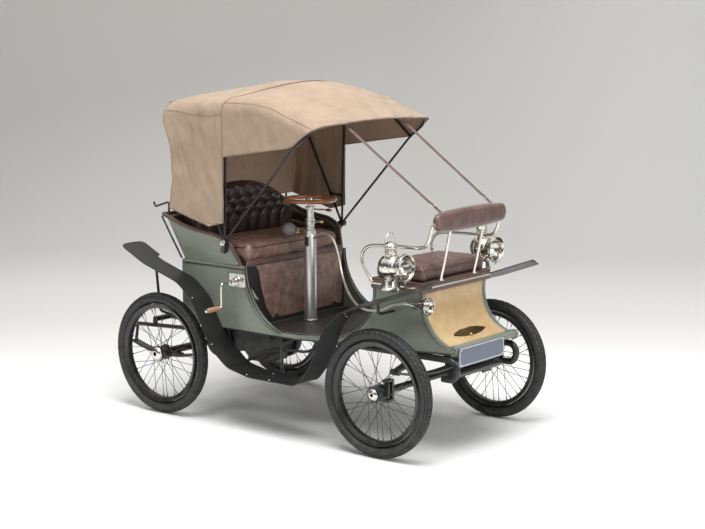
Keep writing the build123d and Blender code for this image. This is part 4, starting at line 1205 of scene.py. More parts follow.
def mid(a, b, k, at):
    """An edge row halfway between the canvas and the lining."""
    p = np.take(a, at, axis=k)
    q = np.take(b, at, axis=k)
    return (evenly(p, 120) + evenly(q, 120)) / 2


binding = []
for a, b, rows in ((rear, rear_in, ((1, 0), (1, -1))),
                   (front, front_in, ((1, 0), (1, -1), (0, -1)))):
    for k, at in rows:
        binding.append(edge_tube(mid(a, b, k, at), 0.0042, 130))
for half in (slice(0, 58), slice(-58, None)):
    binding.append(edge_tube(rear[-1][half], 0.0036, 110))
binding.append(edge_tube((backs[0][0] + backs[1][0]) / 2, 0.0042, 60))
bound = piece("hood_binding", together(*binding), CANVAS_EDGE)
ridge = rear[-1].copy()
bow = np.clip(1 - (np.abs(ridge[:, 1]) / 0.53) ** 2.2, 0, 1)
ridge[:, 0] += 0.19 * bow * np.clip((ridge[:, 2] - 1.70) * 12, 0, 1)
lift = np.array([hood_half(x, 0.0008, 1.1, 400) for x in ridge[:, 0]])
ridge[:, 2] = [np.interp(-abs(p[1]), h[:, 0], h[:, 1]) if abs(p[1]) < 0.535 else p[2]
               for p, h in zip(ridge, lift)]
seam_rows = [edge_tube(ridge, 0.0034, 260, up=(1, 0, 0))]
for grid in (rear, front):
    for s in (1, -1):
        z_seam = np.interp(grid[:, 0, 0], HOOD_X, HOOD_SIDE_Z) - 0.024
        line = []
        for col, zs in zip(grid if s > 0 else grid[:, ::-1], z_seam):
            h = col[:60]
            if h[0, 2] < zs:
                line.append([np.interp(zs, h[:, 2], h[:, i]) for i in range(3)])
        seam_rows.append(edge_tube(np.array(line), 0.0015, 90))
for half in (slice(0, 66), slice(-66, None)):
    seam_rows.append(edge_tube(rear[0][half], 0.0030, 90, up=(1, 0, 0)))
seams = piece("hood_seams", together(*seam_rows), CANVAS_EDGE)
snaps = [turned([(-0.5405, 0.007), (-0.5418, 0.0065), (-0.5425, 0.004), (-0.5428, 0.001)],
                (x, 0, z), "Y", 14) for x, z in ((-0.312, 1.146), (-0.402, 1.124))]
piece("curtain_snaps", both_sides(together(*snaps)), NICKEL)


# Padded pieces: cloth simulation swells a slightly small form.

def box_form(lo, hi, round_, crown, pull, cell=0.012):
    """A cushion's starting form on a fine grid: each of the six faces of a box, its
    points pushed onto a rounding of radius r about the inner box. The top is crowned
    by crown * (1 - a^2)(1 - b^2) and the sides pulled in by pull * (1 - a^4)."""
    lo, hi = np.array(lo, float), np.array(hi, float)
    mid, half = (lo + hi) / 2, (hi - lo) / 2
    parts = []
    for axis in range(3):
        for sign in (-1.0, 1.0):
            a, b = [k for k in range(3) if k != axis]
            na, nb = (max(4, int(2 * half[k] / cell)) for k in (a, b))
            u, v = np.meshgrid(np.linspace(-1, 1, na), np.linspace(-1, 1, nb), indexing="ij")
            p = np.zeros((na, nb, 3))
            p[..., axis], p[..., a], p[..., b] = sign * half[axis], u * half[a], v * half[b]
            inner = np.maximum(half - round_, 1e-4)
            core = np.clip(p, -inner, inner)
            d = p - core
            d /= np.maximum(np.linalg.norm(d, axis=2, keepdims=True), 1e-9)
            p = core + d * round_
            parts.append(skin(p if sign * (1, -1, 1)[axis] > 0 else p[::-1]))
    v, f, t = together(*parts)
    q = v / half
    v[:, 2] += crown * np.clip(v[:, 2] / half[2], 0, 1) * (1 - q[:, 0] ** 2) * (1 - q[:, 1] ** 2)
    v[:, 0] -= pull * q[:, 0] * (1 - q[:, 1] ** 4) * np.abs(q[:, 0])
    v[:, 1] -= pull * q[:, 1] * (1 - q[:, 0] ** 4) * np.abs(q[:, 1])
    return v + mid, f, t


def baked(obj):
    """The mesh as its modifiers leave it, put in place of the old one."""
    graph = bpy.context.evaluated_depsgraph_get()
    mesh = bpy.data.meshes.new_from_object(obj.evaluated_get(graph))
    obj.modifiers.clear()
    obj.data = mesh


CLOTH_FRAMES, CLOTH_PRESSURE = 20, 4.0


def stuffed(name, form, finish, voxel, cap, replaces, sew):
    """A stuffed piece: remesh, cloth with pressure and no gravity, the swell capped,
    then one subdivision. sew(v) gives each point's own shift afterwards, for seams
    and creases."""
    obj = piece(name, form, finish, replaces, sharp=180)
    m = obj.modifiers.new("remesh", "REMESH")
    m.mode, m.voxel_size, m.use_smooth_shade = "VOXEL", voxel, True
    baked(obj)
    n = len(obj.data.vertices)
    start = np.zeros(n * 3)
    obj.data.vertices.foreach_get("co", start)
    start = start.reshape(-1, 3)
    c = obj.modifiers.new("cloth", "CLOTH")
    c.settings.quality = 4
    c.settings.mass = 0.2
    c.settings.use_pressure = True
    c.settings.uniform_pressure_force = CLOTH_PRESSURE
    c.settings.shrink_min = -0.03
    c.settings.effector_weights.gravity = 0.0
    c.settings.tension_stiffness = 18
    c.settings.bending_stiffness = 0.4
    c.collision_settings.use_collision = False
    scene = bpy.context.scene
    c.point_cache.frame_start, c.point_cache.frame_end = 1, CLOTH_FRAMES
    for frame_no in range(1, CLOTH_FRAMES + 1):
        scene.frame_set(frame_no)
    baked(obj)
    scene.frame_set(1)
    now = np.zeros(n * 3)
    obj.data.vertices.foreach_get("co", now)
    move = now.reshape(-1, 3) - start
    size = np.linalg.norm(move, axis=1, keepdims=True)
    now = start + move * np.minimum(1.0, cap / np.maximum(size, 1e-9))
    now = now + sew(now)
    obj.data.vertices.foreach_set("co", now.ravel())
    obj.data.update()
    s = obj.modifiers.new("smooth", "SUBSURF")
    s.levels = s.render_levels = 1
    baked(obj)
    obj.data.shade_smooth()
    if not obj.data.materials:
        obj.data.materials.append(finish)
    return obj


def creases(v, seed, depth, size, stretch=(1, 1, 1)):
    """Soft leather creases: two ridged noises, 0 to depth."""
    out = np.empty(len(v))
    q = v * np.array(stretch) / size + seed
    for i, p in enumerate(q):
        a = 1 - abs(noise.noise(Vector(p)))
        b = 1 - abs(noise.noise(Vector(p * 2.3 + 5.1)))
        out[i] = a ** 6 * 0.7 + b ** 8 * 0.3
    return out * depth


def welt(name, path, r, on=None):
    """Piping round a closed line, laid on a piece's surface where one is given."""
    p = evenly(np.vstack([path, path[:1]]), 241)[:-1]
    if on is not None:
        p = np.array([on.closest_point_on_mesh(Vector(q))[1][:] for q in p])
        for _ in range(3):
            p = (np.roll(p, 1, 0) + 2 * p + np.roll(p, -1, 0)) / 4
    piece(name, along(p, circle(8, r), loop=True), HIDE_PIPE, sharp=180)


def ring_path(x0, x1, y0, y1, z, r):
    """A rounded rectangle in plan, twelve points to a corner."""
    a = np.linspace(0, TAU / 4, 12)
    out = []
    for cx, cy, start in ((x1 - r, y1 - r, 0), (x0 + r, y1 - r, 1), (x0 + r, y0 + r, 2),
                          (x1 - r, y0 + r, 3)):
        t = a + start * TAU / 4
        out.append(np.stack([cx + r * np.cos(t), cy + r * np.sin(t), np.full(12, z)], -1))
    return np.vstack(out)


# Rear seat cushion.

def rear_sew(v):
    """Creases in the top, and a row of short gathers along the front border."""
    top = np.clip((v[:, 2] - 0.985) / 0.02, 0, 1)
    front = np.clip((v[:, 0] + 0.29) / 0.03, 0, 1)
    d = creases(v, 3.7, 0.0085, 0.090, (1.3, 0.45, 1.0)) * (0.35 + 0.65 * top)
    d += 0.0016 * front * np.clip(np.sin(v[:, 1] * 95 + 2 * np.sin(v[:, 1] * 21)), 0, 1)
    out = np.zeros_like(v)
    out[:, 2] = -d * top
    out[:, 0] = -d * front * (1 - top)
    return out


rear_box = box_form((-0.648, -0.393, 0.886), (-0.234, 0.393, 1.001), 0.034, 0.012, 0.006)
rear_seat = stuffed("rear_seat_cushion", rear_box, HIDE_WORN_LIT, 0.006, 0.008, ["rear_cushion"],
                    rear_sew)
welt("rear_seat_piping", ring_path(-0.644, -0.242, -0.386, 0.386, 0.984, 0.045), 0.0038, rear_seat)
welt("rear_seat_low_piping", ring_path(-0.646, -0.240, -0.388, 0.388, 0.903, 0.040), 0.0034,
     rear_seat)


# Front seat cushion: two panels either side of a narrow band.

def front_sew(v):
    """Seams at y 0.087 and 0.140, and creases that gather toward them."""
    top = np.clip((v[:, 2] - 0.945) / 0.02, 0, 1)
    seam = np.exp(-((v[:, 1] - 0.087) / 0.004) ** 2) + np.exp(-((v[:, 1] - 0.140) / 0.004) ** 2)
    near = np.exp(-np.abs(v[:, 1] - 0.113) / 0.14)
    d = creases(v, 9.2, 0.0085, 0.075, (1.5, 0.7, 1.0)) * (0.35 + 0.65 * near) * (0.3 + 0.7 * top)
    fold = np.exp(-((v[:, 0] - 0.752 - 0.12 * (v[:, 1] + 0.05)) / 0.006) ** 2)
    d += 0.0065 * top * fold * np.exp(-((v[:, 1] + 0.02) / 0.11) ** 4)
    out = np.zeros_like(v)
    out[:, 2] = -(d + 0.0042 * seam) * top
    out[:, 0] = -(0.5 * d + 0.0035 * seam) * (1 - top) * (v[:, 0] > 0.80)
    return out


front_box = box_form((0.564, -0.293, 0.8935), (0.880, 0.293, 0.966), 0.027, 0.017, 0.005)
front_seat = stuffed("front_seat_cushion", front_box, HIDE, 0.006, 0.010, ["front_cushion"],
                     front_sew)
welt("front_seat_piping", ring_path(0.567, 0.876, -0.289, 0.289, 0.955, 0.030), 0.0034, front_seat)
welt("front_seat_low_piping", ring_path(0.566, 0.877, -0.290, 0.290, 0.903, 0.030), 0.0034,
     front_seat)

# Bar back of the front seat: a padded capsule with a nickel rim round its edge.

BAR_X, BAR_Z = 0.975, 1.218


def capsule_form(x0, x1, half_y, z_mid, r):
    """A rounded bar: its outline a stadium of half height r, its section across the
    thickness a superellipse of power 2.6, scaled in at both faces."""
    soft, n, m = 0.016, 160, 30
    a = np.linspace(0, TAU, n, endpoint=False)
    y = (half_y - r) * np.clip(np.cos(a) * 1.6, -1, 1) + r * np.cos(a)
    z = r * np.sin(a)
    s = np.linspace(-TAU / 4, TAU / 4, m)
    thick = (x1 - x0) / 2
    xs = thick * np.sign(np.sin(s)) * np.abs(np.sin(s)) ** (2 / 2.6)
    k = np.abs(np.cos(s)) ** (2 / 2.6)
    grid = np.stack([np.broadcast_to(((x0 + x1) / 2 + xs)[:, None], (m, n)),
                     y[None, :] - np.cos(a)[None, :] * soft * (1 - k[:, None]) * 2.2,
                     z_mid + z[None, :] * (1 - (1 - k[:, None]) * 0.62)], -1)
    return skin(grid, round_v=True, caps=True)


def bar_sew(v):
    """Slight creases, and a sunk line near each end of the bar."""
    out = np.zeros_like(v)
    face = np.sign(v[:, 0] - BAR_X)
    d = creases(v, 1.3, 0.0030, 0.06)
    ends = 0.0022 * np.exp(-((np.abs(v[:, 1]) - 0.248) / 0.009) ** 2)
    out[:, 0] = -(d + ends) * face
    return out


stuffed("front_back_bar", capsule_form(0.9525, 0.9975, 0.3235, BAR_Z, 0.0575), HIDE, 0.005, 0.003,
        ["front_backrest"], bar_sew)
rim_a = np.linspace(0, TAU, 160, endpoint=False)
rim_y = 0.266 * np.clip(np.cos(rim_a) * 1.6, -1, 1) + 0.0580 * np.cos(rim_a)
rim = np.stack([np.full(160, BAR_X), rim_y, BAR_Z + 0.0580 * np.sin(rim_a)], -1)
rim_band = along(rim, oblong(0.0035, 0.0012), up=(1, 0, 0), loop=True)
piece("bar_rim", rim_band, NICKEL, sharp=40)
posts = together(*[along(smooth_path([(0.898, y, 0.893), (0.898, y, 0.915), (0.914, y, 0.978),
                                      (0.955, y, 1.166)], 30),
                         circle(12, 0.0085), up=(0, 1, 0)) for y in (-0.155, 0.155)])
feet = together(*[turned([(0.8925, 0.017), (0.8965, 0.017), (0.899, 0.012), (0.904, 0.0105),
                          (0.908, 0.0088)],
                         (0.898, y, 0), "Z", 20) for y in (-0.155, 0.155)])
piece("bar_posts", together(posts, feet), NICKEL)


# Buttoned back of the rear seat.

BACK_WIDE, BACK_RISE, BACK_SHOULDER, BACK_TOP = 0.448, 0.141, 1.165, 1.306
BACK_R = (BACK_WIDE ** 2 + BACK_RISE ** 2) / (2 * BACK_RISE)


def back_half(z):
    """Half width of the back at a height: straight sides, then the arched top."""
    low = np.interp(z, (0.884, BACK_SHOULDER), (0.385, BACK_WIDE))
    arch = np.sqrt(np.clip(BACK_R ** 2 - (z - BACK_TOP + BACK_R) ** 2, 0, None))
    return np.where(z > BACK_SHOULDER, np.minimum(arch, BACK_WIDE), low)


def back_front(z):
    """Station of the back's front face at a height."""
    return np.interp(z, (0.884, 1.310), (-0.6605, -0.6370))


ROW_Z, ROW_STEP, GAP_Y = 1.085, 0.052, 0.092


def tufting(y, z):
    """Height from 0 in a fold to 1 between buttons. Above the lowest row two sets of
    slanting folds cross at the buttons, (|sin pi s1| |sin pi s2|)^0.45 with
    s1, s2 = y/p + or - (z - z0)/2q. Below it and above the top row the folds run
    upright, |sin|^0.9 across y."""
    rows = np.clip((z - ROW_Z) / ROW_STEP, 0, 3)
    s1, s2 = y / GAP_Y + rows / 2, y / GAP_Y - rows / 2
    a, b = np.abs(np.sin(math.pi * s1)), np.abs(np.sin(math.pi * s2))
    return (a * b) ** 0.45


def back_shape():
    """Front face over its rim: depth falls to nothing at the rim as
    (1 - (1 - d/42 mm)^2.4), where d is the distance in from the outline."""
    z_side = np.linspace(0.886, BACK_SHOULDER, 90)
    r = BACK_R
    cut = math.asin(BACK_WIDE / r)
    arc = np.linspace(cut, -cut, 110)
    right = np.stack([back_half(z_side), z_side], -1)
    top = np.stack([r * np.sin(arc), BACK_TOP - r + r * np.cos(arc)], -1)
    outline = np.vstack([right, top[1:-1], (right * [-1, 1])[::-1]])
    soft = evenly(outline, 260)
    for _ in range(10):
        soft[1:-1] = (soft[:-2] + 2 * soft[1:-1] + soft[2:]) / 4
    soft = np.vstack([soft, evenly(np.array([soft[-1], soft[0]]), 90)[1:-1]])
    k = np.linspace(0, 1, 70) ** 0.8
    hub = np.array([0.0, 1.06])
    flat = hub + (soft - hub)[None] * k[:, None, None]
    y, z = flat[..., 0], flat[..., 1]
    d = np.linalg.norm(soft - hub, axis=1)[None, :] * (1 - k[:, None])
    roll = 1 - (1 - np.clip(d / 0.042, 0, 1)) ** 2.4
    rear = np.interp(z, (0.884, 1.150, 1.190, 1.310), (-0.684, -0.696, -0.695, -0.676))
    thick = back_front(z) - rear - 0.001
    h = thick * roll * (0.62 + 0.38 * tufting(y, z) * np.clip(d / 0.030, 0.35, 1))
    face = np.stack([rear + 0.0008 + h, y, z], -1)
    back = np.stack([rear + 0.0005 + 0 * h, y, z], -1)[::-1][9::10]
    return np.concatenate([face, back], 0)


grid = back_shape()
back_pad = piece("rear_seat_back", skin(grid, round_v=True), HIDE_SHADED,
                 replaces=["rear_backrest"], outward=True, sharp=80)
buttons = []
for row in range(4):
    z = ROW_Z + row * ROW_STEP
    for m in range(-5, 6):
        y = (m + (row % 2) / 2) * GAP_Y
        if abs(y) < float(back_half(np.array(z))) - 0.035:
            x = back_front(z) - 0.0165
            buttons.append(turned([(-0.002, 0.0085), (0.002, 0.0085), (0.0045, 0.0062),
                                   (0.0055, 0.002)],
                                  (x, y, z), "X", 12))
piece("back_buttons", together(*buttons), HIDE_SHADED)


# Padded lining inside the surround, in upright channels. The side walls lean out by
# FLARE and the rear one by REAR_LEAN for each unit of height over WALL_FOOT.

WALL_FOOT, FLARE, REAR_LEAN, CHANNEL = 0.885, 0.298, 0.2836, 0.075


def channels(at):
    """1 in the middle of a channel, 0 at its seams."""
    return np.abs(np.sin(math.pi * at / CHANNEL)) ** 0.35


def side_pad():
    """The side lining: 11 mm * (0.55 + 0.45 of the channels) thick, thinning to the edge."""
    u, w = np.meshgrid(np.linspace(0, 1, 90), np.linspace(0, 1, 40), indexing="ij")
    x = -0.676 + 0.404 * u
    top = np.interp(x, (-0.70, -0.627, -0.496, -0.387, -0.313, -0.287, -0.268),
                    (1.112, 1.082, 1.058, 1.042, 1.006, 0.960, 0.915))
    z = 0.8865 + (top - 0.8865) * w
    rim = np.clip(np.minimum(np.minimum(u, 1 - u) * 14, np.minimum(w * 9, (1 - w) * 9)), 0, 1)
    thick = 0.011 * np.sqrt(1 - (1 - rim) ** 2) * (0.55 + 0.45 * channels(x))
    y = 0.450 - 0.014 + (z - WALL_FOOT) * FLARE - 0.0012 - thick
    return skin(np.stack([x, y, z], -1))


pads = piece("surround_lining", both_sides(side_pad()), HIDE_SHADED, outward=False, sharp=80)


# Arm rolls, gathered round at every 30 mm.

def arm_roll():
    """Radius 25 mm less 2.4 mm at each gather, closing to a dome at both ends."""
    n = 120
    p = evenly(np.array([(-0.664, 0.450, 1.0115), (-0.620, 0.450, 1.0080), (-0.345, 0.442, 0.975),
                         (-0.3215, 0.441, 0.972)]), n)
    s = np.linspace(0, 1, n) * np.linalg.norm(p[-1] - p[0])
    end = s[-1]
    r = 0.0250 - 0.0024 * np.abs(np.cos(math.pi * s / 0.030)) ** 8
    dome = np.sqrt(np.clip(1 - (1 - np.clip(np.minimum(s, end - s) / 0.024, 0, 1)) ** 2, 0.0004,
                           1))
    return along(p, circle(24, 1.0), scale=r * dome)


rolls = piece("side_arm_rolls", both_sides(arm_roll()), HIDE_SHADED, replaces=["arm_rolls"],
              sharp=80)


# Apron under the rear seat, a sheet of the dark board finish behind it as painted shade, and the
# leather rail over it.

az = np.linspace(0, 1, 50)
left_y = np.interp(0.568 + az * 0.298, (0.568, 0.60, 0.64, 0.741, 0.834, 0.860, 0.866),
                   (-0.214, -0.243, -0.274, -0.313, -0.331, -0.352, -0.369))
ay = left_y[:, None] + (0.418 - left_y)[:, None] * np.linspace(0, 1, 80)
foot = (0.568 + 0.020 * np.exp(-((ay - left_y[:, None] - 0.035) / 0.018) ** 4)
        + 0.016 * np.exp(-((ay - 0.345) / 0.022) ** 4))
az2 = foot + az[:, None] * (0.8835 - foot)
wave = 0.0011 * np.sin(20 * ay + 3 * np.sin(9 * az2)) + 0.0006 * np.sin(47 * ay - 12 * az2)
apron_grid = np.stack([-0.2223 + wave, ay, az2], -1)
apron = piece("seat_apron_hide", skin(apron_grid), HIDE_WORN_LIT, replaces=["seat_apron"],
              outward=False, sharp=80)
hem = piece("apron_hem", along(apron_grid[:, 0], circle(6, 0.0018), up=(1, 0, 0)), HIDE_PIPE)
# A black sheet over the box front: painted shade below and behind the apron.
dark = skin(np.stack([np.full((2, 2), -0.22482), [[-0.436, -0.436], [0.436, 0.436]],
                      [[0.5440, 0.883], [0.5440, 0.883]]], -1))
piece("box_front_shade", dark, BOARDS, outward=False)
patch = (np.array([[-0.22445, -0.421, 0.798], [-0.22445, -0.326, 0.684],
                   [-0.22445, -0.422, 0.734]]),
         [np.array([[0, 2, 1]])], np.zeros((3, 2)))
piece("cream_patch", patch, CREAM, outward=False)
rail_y = np.linspace(-0.430, 0.430, 120)
rail_r = np.sqrt(np.clip(1 - (np.abs(rail_y) / 0.4302) ** 60, 0.001, 1))
a = np.linspace(0, TAU, 28, endpoint=False)
section = np.stack([0.0058 * np.sign(np.cos(a)) * np.abs(np.cos(a)) ** 0.6,
                    0.0168 * np.sign(np.sin(a)) * np.abs(np.sin(a)) ** 0.55], -1)
rail_path = np.stack([np.full(120, -0.2255), rail_y, 0.9025 + 0.0007 * np.sin(31 * rail_y)], -1)
rail = piece("seat_front_rail", along(rail_path, section, scale=rail_r), HIDE, sharp=80)

# Leather roll over the surround's edge, darker behind, in the leather darkened as painted shade.
EDGE = [(-0.250, 0.889), (-0.283, 0.972), (-0.309, 1.020), (-0.385, 1.056), (-0.496, 1.072),
        (-0.627, 1.097), (-0.772, 1.152)]


def on_surround(path, off=0.0):
    """Side view points (x, z) put on the middle of the surround's left wall."""
    p = np.asarray(path, float)
    return np.stack([p[:, 0], 0.443 + (p[:, 1] - WALL_FOOT) * FLARE + off, p[:, 1]], -1)


edge_line = evenly(on_surround(smooth_path(EDGE, 120)), 160)
gather = 1 - 0.05 * np.abs(np.cos(np.linspace(0, 26 * math.pi, 160))) ** 6
edge_roll = piece("surround_roll", both_sides(along(edge_line, circle(16, 0.0118), scale=gather)),
                  HIDE_PIPE, sharp=80)
rear_line = np.array([(-0.772, y, 1.152) for y in np.linspace(-0.524, 0.524, 40)])
bz, bw = np.meshgrid(np.linspace(0.890, 1.135, 30), np.linspace(-1, 1, 90), indexing="ij")
back_y = bw * (0.390 + (bz - WALL_FOOT) * FLARE)
back_x = (-0.6845 - (bz - WALL_FOOT) * REAR_LEAN
          + 0.007 * np.clip((bz - 0.93) * 8, 0, 1) * channels(back_y))
rear_pad = piece("surround_rear_lining", skin(np.stack([back_x, back_y, bz], -1)), HIDE_SHADED,
                 outward=False, sharp=80)
cz, ca = np.meshgrid(np.linspace(0.8905, 1.110, 30), np.linspace(math.pi / 2, math.pi, 22),
                     indexing="ij")
cr = 0.0488 - 0.008 * np.abs(np.sin(2 * ca)) ** 0.5
corner = np.stack([-0.636 - REAR_LEAN * (cz - WALL_FOOT) + cr * np.cos(ca),
                   0.386 + FLARE * (cz - WALL_FOOT) + cr * np.sin(ca), cz], -1)
corner_pad = piece("surround_corner_lining", both_sides(skin(corner)), HIDE_SHADED, outward=False,
                   sharp=80)
piece("surround_rear_roll", along(rear_line, circle(14, 0.0100)), HIDE_SHADED, sharp=80)
STRIP = [(-0.302, 1.030), (-0.289, 0.990), (-0.273, 0.950), (-0.264, 0.905)]
strip_at = on_surround(smooth_path(STRIP, 40), 0.0078)
strip = along(strip_at, oblong(0.0008, 0.0052), up=(-1, 0, 0))
piece("surround_strip", both_sides(strip), NICKEL)
screws = together(*[turned([(p[1] + 0.0004, 0.0030), (p[1] + 0.0018, 0.0026),
                            (p[1] + 0.0022, 0.0008)],
                           (p[0], 0, p[2]), "Y", 10) for p in strip_at[2::7]])
piece("strip_screws", both_sides(screws), IRON)
corner = np.array([(-0.7005, 0.4515, 0.897), (-0.740, 0.492, 1.020), (-0.7785, 0.5285, 1.140)])
piece("surround_corner_bead", both_sides(along(evenly(corner, 30), circle(8, 0.0055))), IRON)

# Dark band inside the side opening.
band = []
for path in (U_REAR, U_FRONT):
    p = evenly(path, 50)
    n_in = line_normal(p)
    n_in *= np.sign(n_in[25, 1]) * 0.0007
    rows = [np.stack([p[:, 0] + n_in[:, 0], side_y(p[:, 0]) - off, p[:, 1] + n_in[:, 1]], -1)
            for off in (0.0015, 0.010, 0.020, 0.030)]
    band.append(skin(np.array(rows)))
piece("opening_band", both_sides(together(*band)), WHEEL_BLACK, outward=False)


# Seat tray: hide over a board, a nickel strip round it and piping at its top.

piece("tray_cover", box_form((0.5555, -0.3175, 0.8388), (0.8995, 0.3175, 0.8915), 0.0065, 0, 0,
                             0.006), HIDE, replaces=["seat_tray"], sharp=80)
piece("tray_strip", along(evenly(ring_path(0.5555, 0.8995, -0.3175, 0.3175, 0.8655, 0.008), 240),
      [(-0.0016, -0.0040), (0.0016, -0.0040), (0.0026, 0), (0.0016, 0.0040), (-0.0016, 0.0040)],
                          loop=True),
      NICKEL)
welt("tray_piping", ring_path(0.5565, 0.8985, -0.3165, 0.3165, 0.8905, 0.010), 0.0034)
RAIL = [(0.566, 0.879), (0.536, 0.915), (0.506, 0.962), (0.4985, 0.995), (0.508, 1.030),
        (0.545, 1.060),
        (0.620, 1.0715), (0.752, 1.0765), (0.870, 1.0795), (0.915, 1.094), (0.938, 1.134),
        (0.949, 1.176), (0.9595, 1.200)]
rail_xz = evenly(smooth_path(np.array(RAIL), 160), 120)
rail_tube = along(at_y(rail_xz, 0.320), circle(14, 0.0088), up=(0, 1, 0))
rail_foot = turned([(0.876, 0.0145), (0.8805, 0.0145), (0.8835, 0.0105)], (0.567, 0.3195, 0), "Z",
                   18)
piece("seat_rail_tubes", both_sides(together(rail_tube, rail_foot)), NICKEL,
      replaces=["seat_rails"])


# Steering column: a polished tapered tube with collars, levers and a slot.

CX, CY = -0.105, -0.020
column = turned([(0.5435, 0.0395), (0.5470, 0.0395), (0.5485, 0.0362), (0.560, 0.0360),
                 (0.800, 0.0352),
                 (1.033, 0.0345), (1.038, 0.0320), (1.042, 0.0300), (1.044, 0.0330),
                 (1.058, 0.0330),
                 (1.062, 0.0270), (1.068, 0.0240), (1.097, 0.0235), (1.099, 0.0278),
                 (1.106, 0.0278),
                 (1.108, 0.0262), (1.118, 0.0262), (1.120, 0.0278), (1.127, 0.0278),
                 (1.129, 0.0216),
                 (1.173, 0.0212), (1.175, 0.0268), (1.181, 0.0268), (1.183, 0.0245),
                 (1.190, 0.0245),
                 (1.192, 0.0268), (1.197, 0.0262), (1.1995, 0.0150)], (CX, CY, 0), "Z", 56)
piece("column_tube", column, STEEL, replaces=["steering_column"], sharp=30)
sa, sz = np.meshgrid(np.radians(np.linspace(-102, -64, 14)), np.linspace(0.972, 1.026, 16),
                     indexing="ij")
piece("column_slot", skin(np.stack([CX + 0.03505 * np.cos(sa), CY + 0.03505 * np.sin(sa), sz],
                                   -1)), IRON, outward=False)
lever = evenly(smooth_path([(CX + 0.018, CY - 0.003, 1.186), (-0.050, -0.028, 1.184),
                            (0.005, -0.038, 1.188), (0.040, -0.044, 1.189)], 30), 30)
grip = straight((0.032, -0.0427, 1.189), (0.077, -0.0503, 1.189), 24)
gs = np.linspace(0, 1, 24)
lever2 = straight((CX + 0.02, CY - 0.004, 1.1125), (-0.014, -0.0385, 1.1175), 12)
piece("column_levers", together(along(lever, circle(10, 0.0044)),
                                along(lever2, circle(10, 0.0044))), NICKEL)
grip_r = 0.0045 + 0.0042 * np.sin(math.pi * gs ** 0.8) ** 0.7
piece("lever_grip", along(grip, circle(14, 1.0), scale=grip_r), COPPER)
knob = straight((-0.018, -0.0390, 1.1172), (0.0055, -0.0405, 1.1184), 20)
ks = np.linspace(-1, 1, 20)
piece("lever_knob", along(knob, circle(16, 1.0), scale=0.0105 * np.sqrt(1.0001 - ks ** 2)), BRASS)
clamps = [bolt((CX + 0.0235, CY - 0.012, z), "X", 0.005, 0.007) for z in (1.051, 1.075, 1.113)]
clamps += [turned([(CY - 0.030, 0.006), (CY - 0.037, 0.006), (CY - 0.039, 0.003)],
                  (CX + 0.006, 0, z), "Y", 6)
           for z in (1.051, 1.1135, 1.186)]
piece("column_clamp_bolts", together(*clamps), NICKEL)
hose_end = straight((-0.072, -0.027, 1.018), (-0.050, -0.031, 1.032), 8)
piece("hose_ferrule", along(hose_end, circle(14, 0.0082)), NICKEL)

# Rubber bulb: radius follows the distance along its axis, brass collar, steel neck.
BULB_AXIS = np.array([(-0.2865, -0.0367, 1.0595), (-0.140, -0.0235, 1.0470)])
bs = np.array([0, 0.002, 0.006, 0.013, 0.023, 0.036, 0.048, 0.058, 0.068, 0.077, 0.085, 0.092])
br = np.array([0.001, 0.014, 0.0232, 0.0315, 0.0372, 0.0385, 0.0365, 0.0318, 0.0252, 0.0188,
               0.0145, 0.0127])


def along_axis(d):
    """Points at distances along the bulb's axis."""
    run = BULB_AXIS[1] - BULB_AXIS[0]
    return BULB_AXIS[0] + run / np.linalg.norm(run) * np.asarray(d)[:, None]


bb = np.linspace(0, 0.092, 50)
piece("bulb_rubber_body", along(along_axis(bb), circle(32, 1.0), scale=np.interp(bb, bs, br)),
      BULB, replaces=["horn_bulb"], sharp=60)
collar_s = np.array([0.088, 0.0885, 0.0945, 0.095, 0.102, 0.1025])
piece("bulb_collar", along(along_axis(collar_s), circle(20, 1.0),
                           scale=np.array([0.012, 0.0140, 0.0140, 0.0115, 0.0115, 0.008])),
      BRASS, sharp=30)
piece("bulb_neck", along(along_axis(np.linspace(0.100, 0.1435, 8)), circle(12, 0.0062)), NICKEL)


# Steering wheel: wooden rim, four flat arms and a domed hub.

WZ = 1.236
ra = np.linspace(0, TAU, 140, endpoint=False)
sa2 = np.linspace(0, TAU, 18, endpoint=False)
rim_r = 0.1400 + 0.0120 * np.cos(sa2)[None, :] + 0 * ra[:, None]
rim_z = WZ + 0.0118 * np.sin(sa2)[None, :] + 0 * ra[:, None]
wood = skin(np.stack([CX + rim_r * np.cos(ra)[:, None], CY + rim_r * np.sin(ra)[:, None], rim_z],
                     -1), True, True)
piece("wheel_rim", wood, WOOD, ["steering_wheel"], "steering_wheel", sharp=80)
arms = []
for i in range(4):
    t = math.radians(45 + 90 * i)
    d = np.array([math.cos(t), math.sin(t)])
    run = np.linspace(0.016, 0.1335, 20)
    drop = 0.004 * np.cos(np.linspace(0, math.pi, 20)) - 0.004
    path = np.stack([CX + d[0] * run, CY + d[1] * run, WZ + drop], -1)
    arms.append(along(path, oblong(0.0065, 0.0015), scale=np.linspace(1.25, 0.8, 20)))
hub = turned([(1.2005, 0.012), (1.221, 0.012), (1.2225, 0.0245), (1.234, 0.0258), (1.243, 0.0240),
              (1.246, 0.0175),
              (1.2475, 0.0170), (1.2495, 0.0120), (1.2505, 0.0030)], (CX, CY, 0), "Z", 40)
piece("wheel_arms", together(hub, *arms), NICKEL, body="steering_wheel")


# Starting crank and its ringed plate.

CRANK_X, CRANK_Z, HANDLE_Z = -0.280, 0.805, 0.672

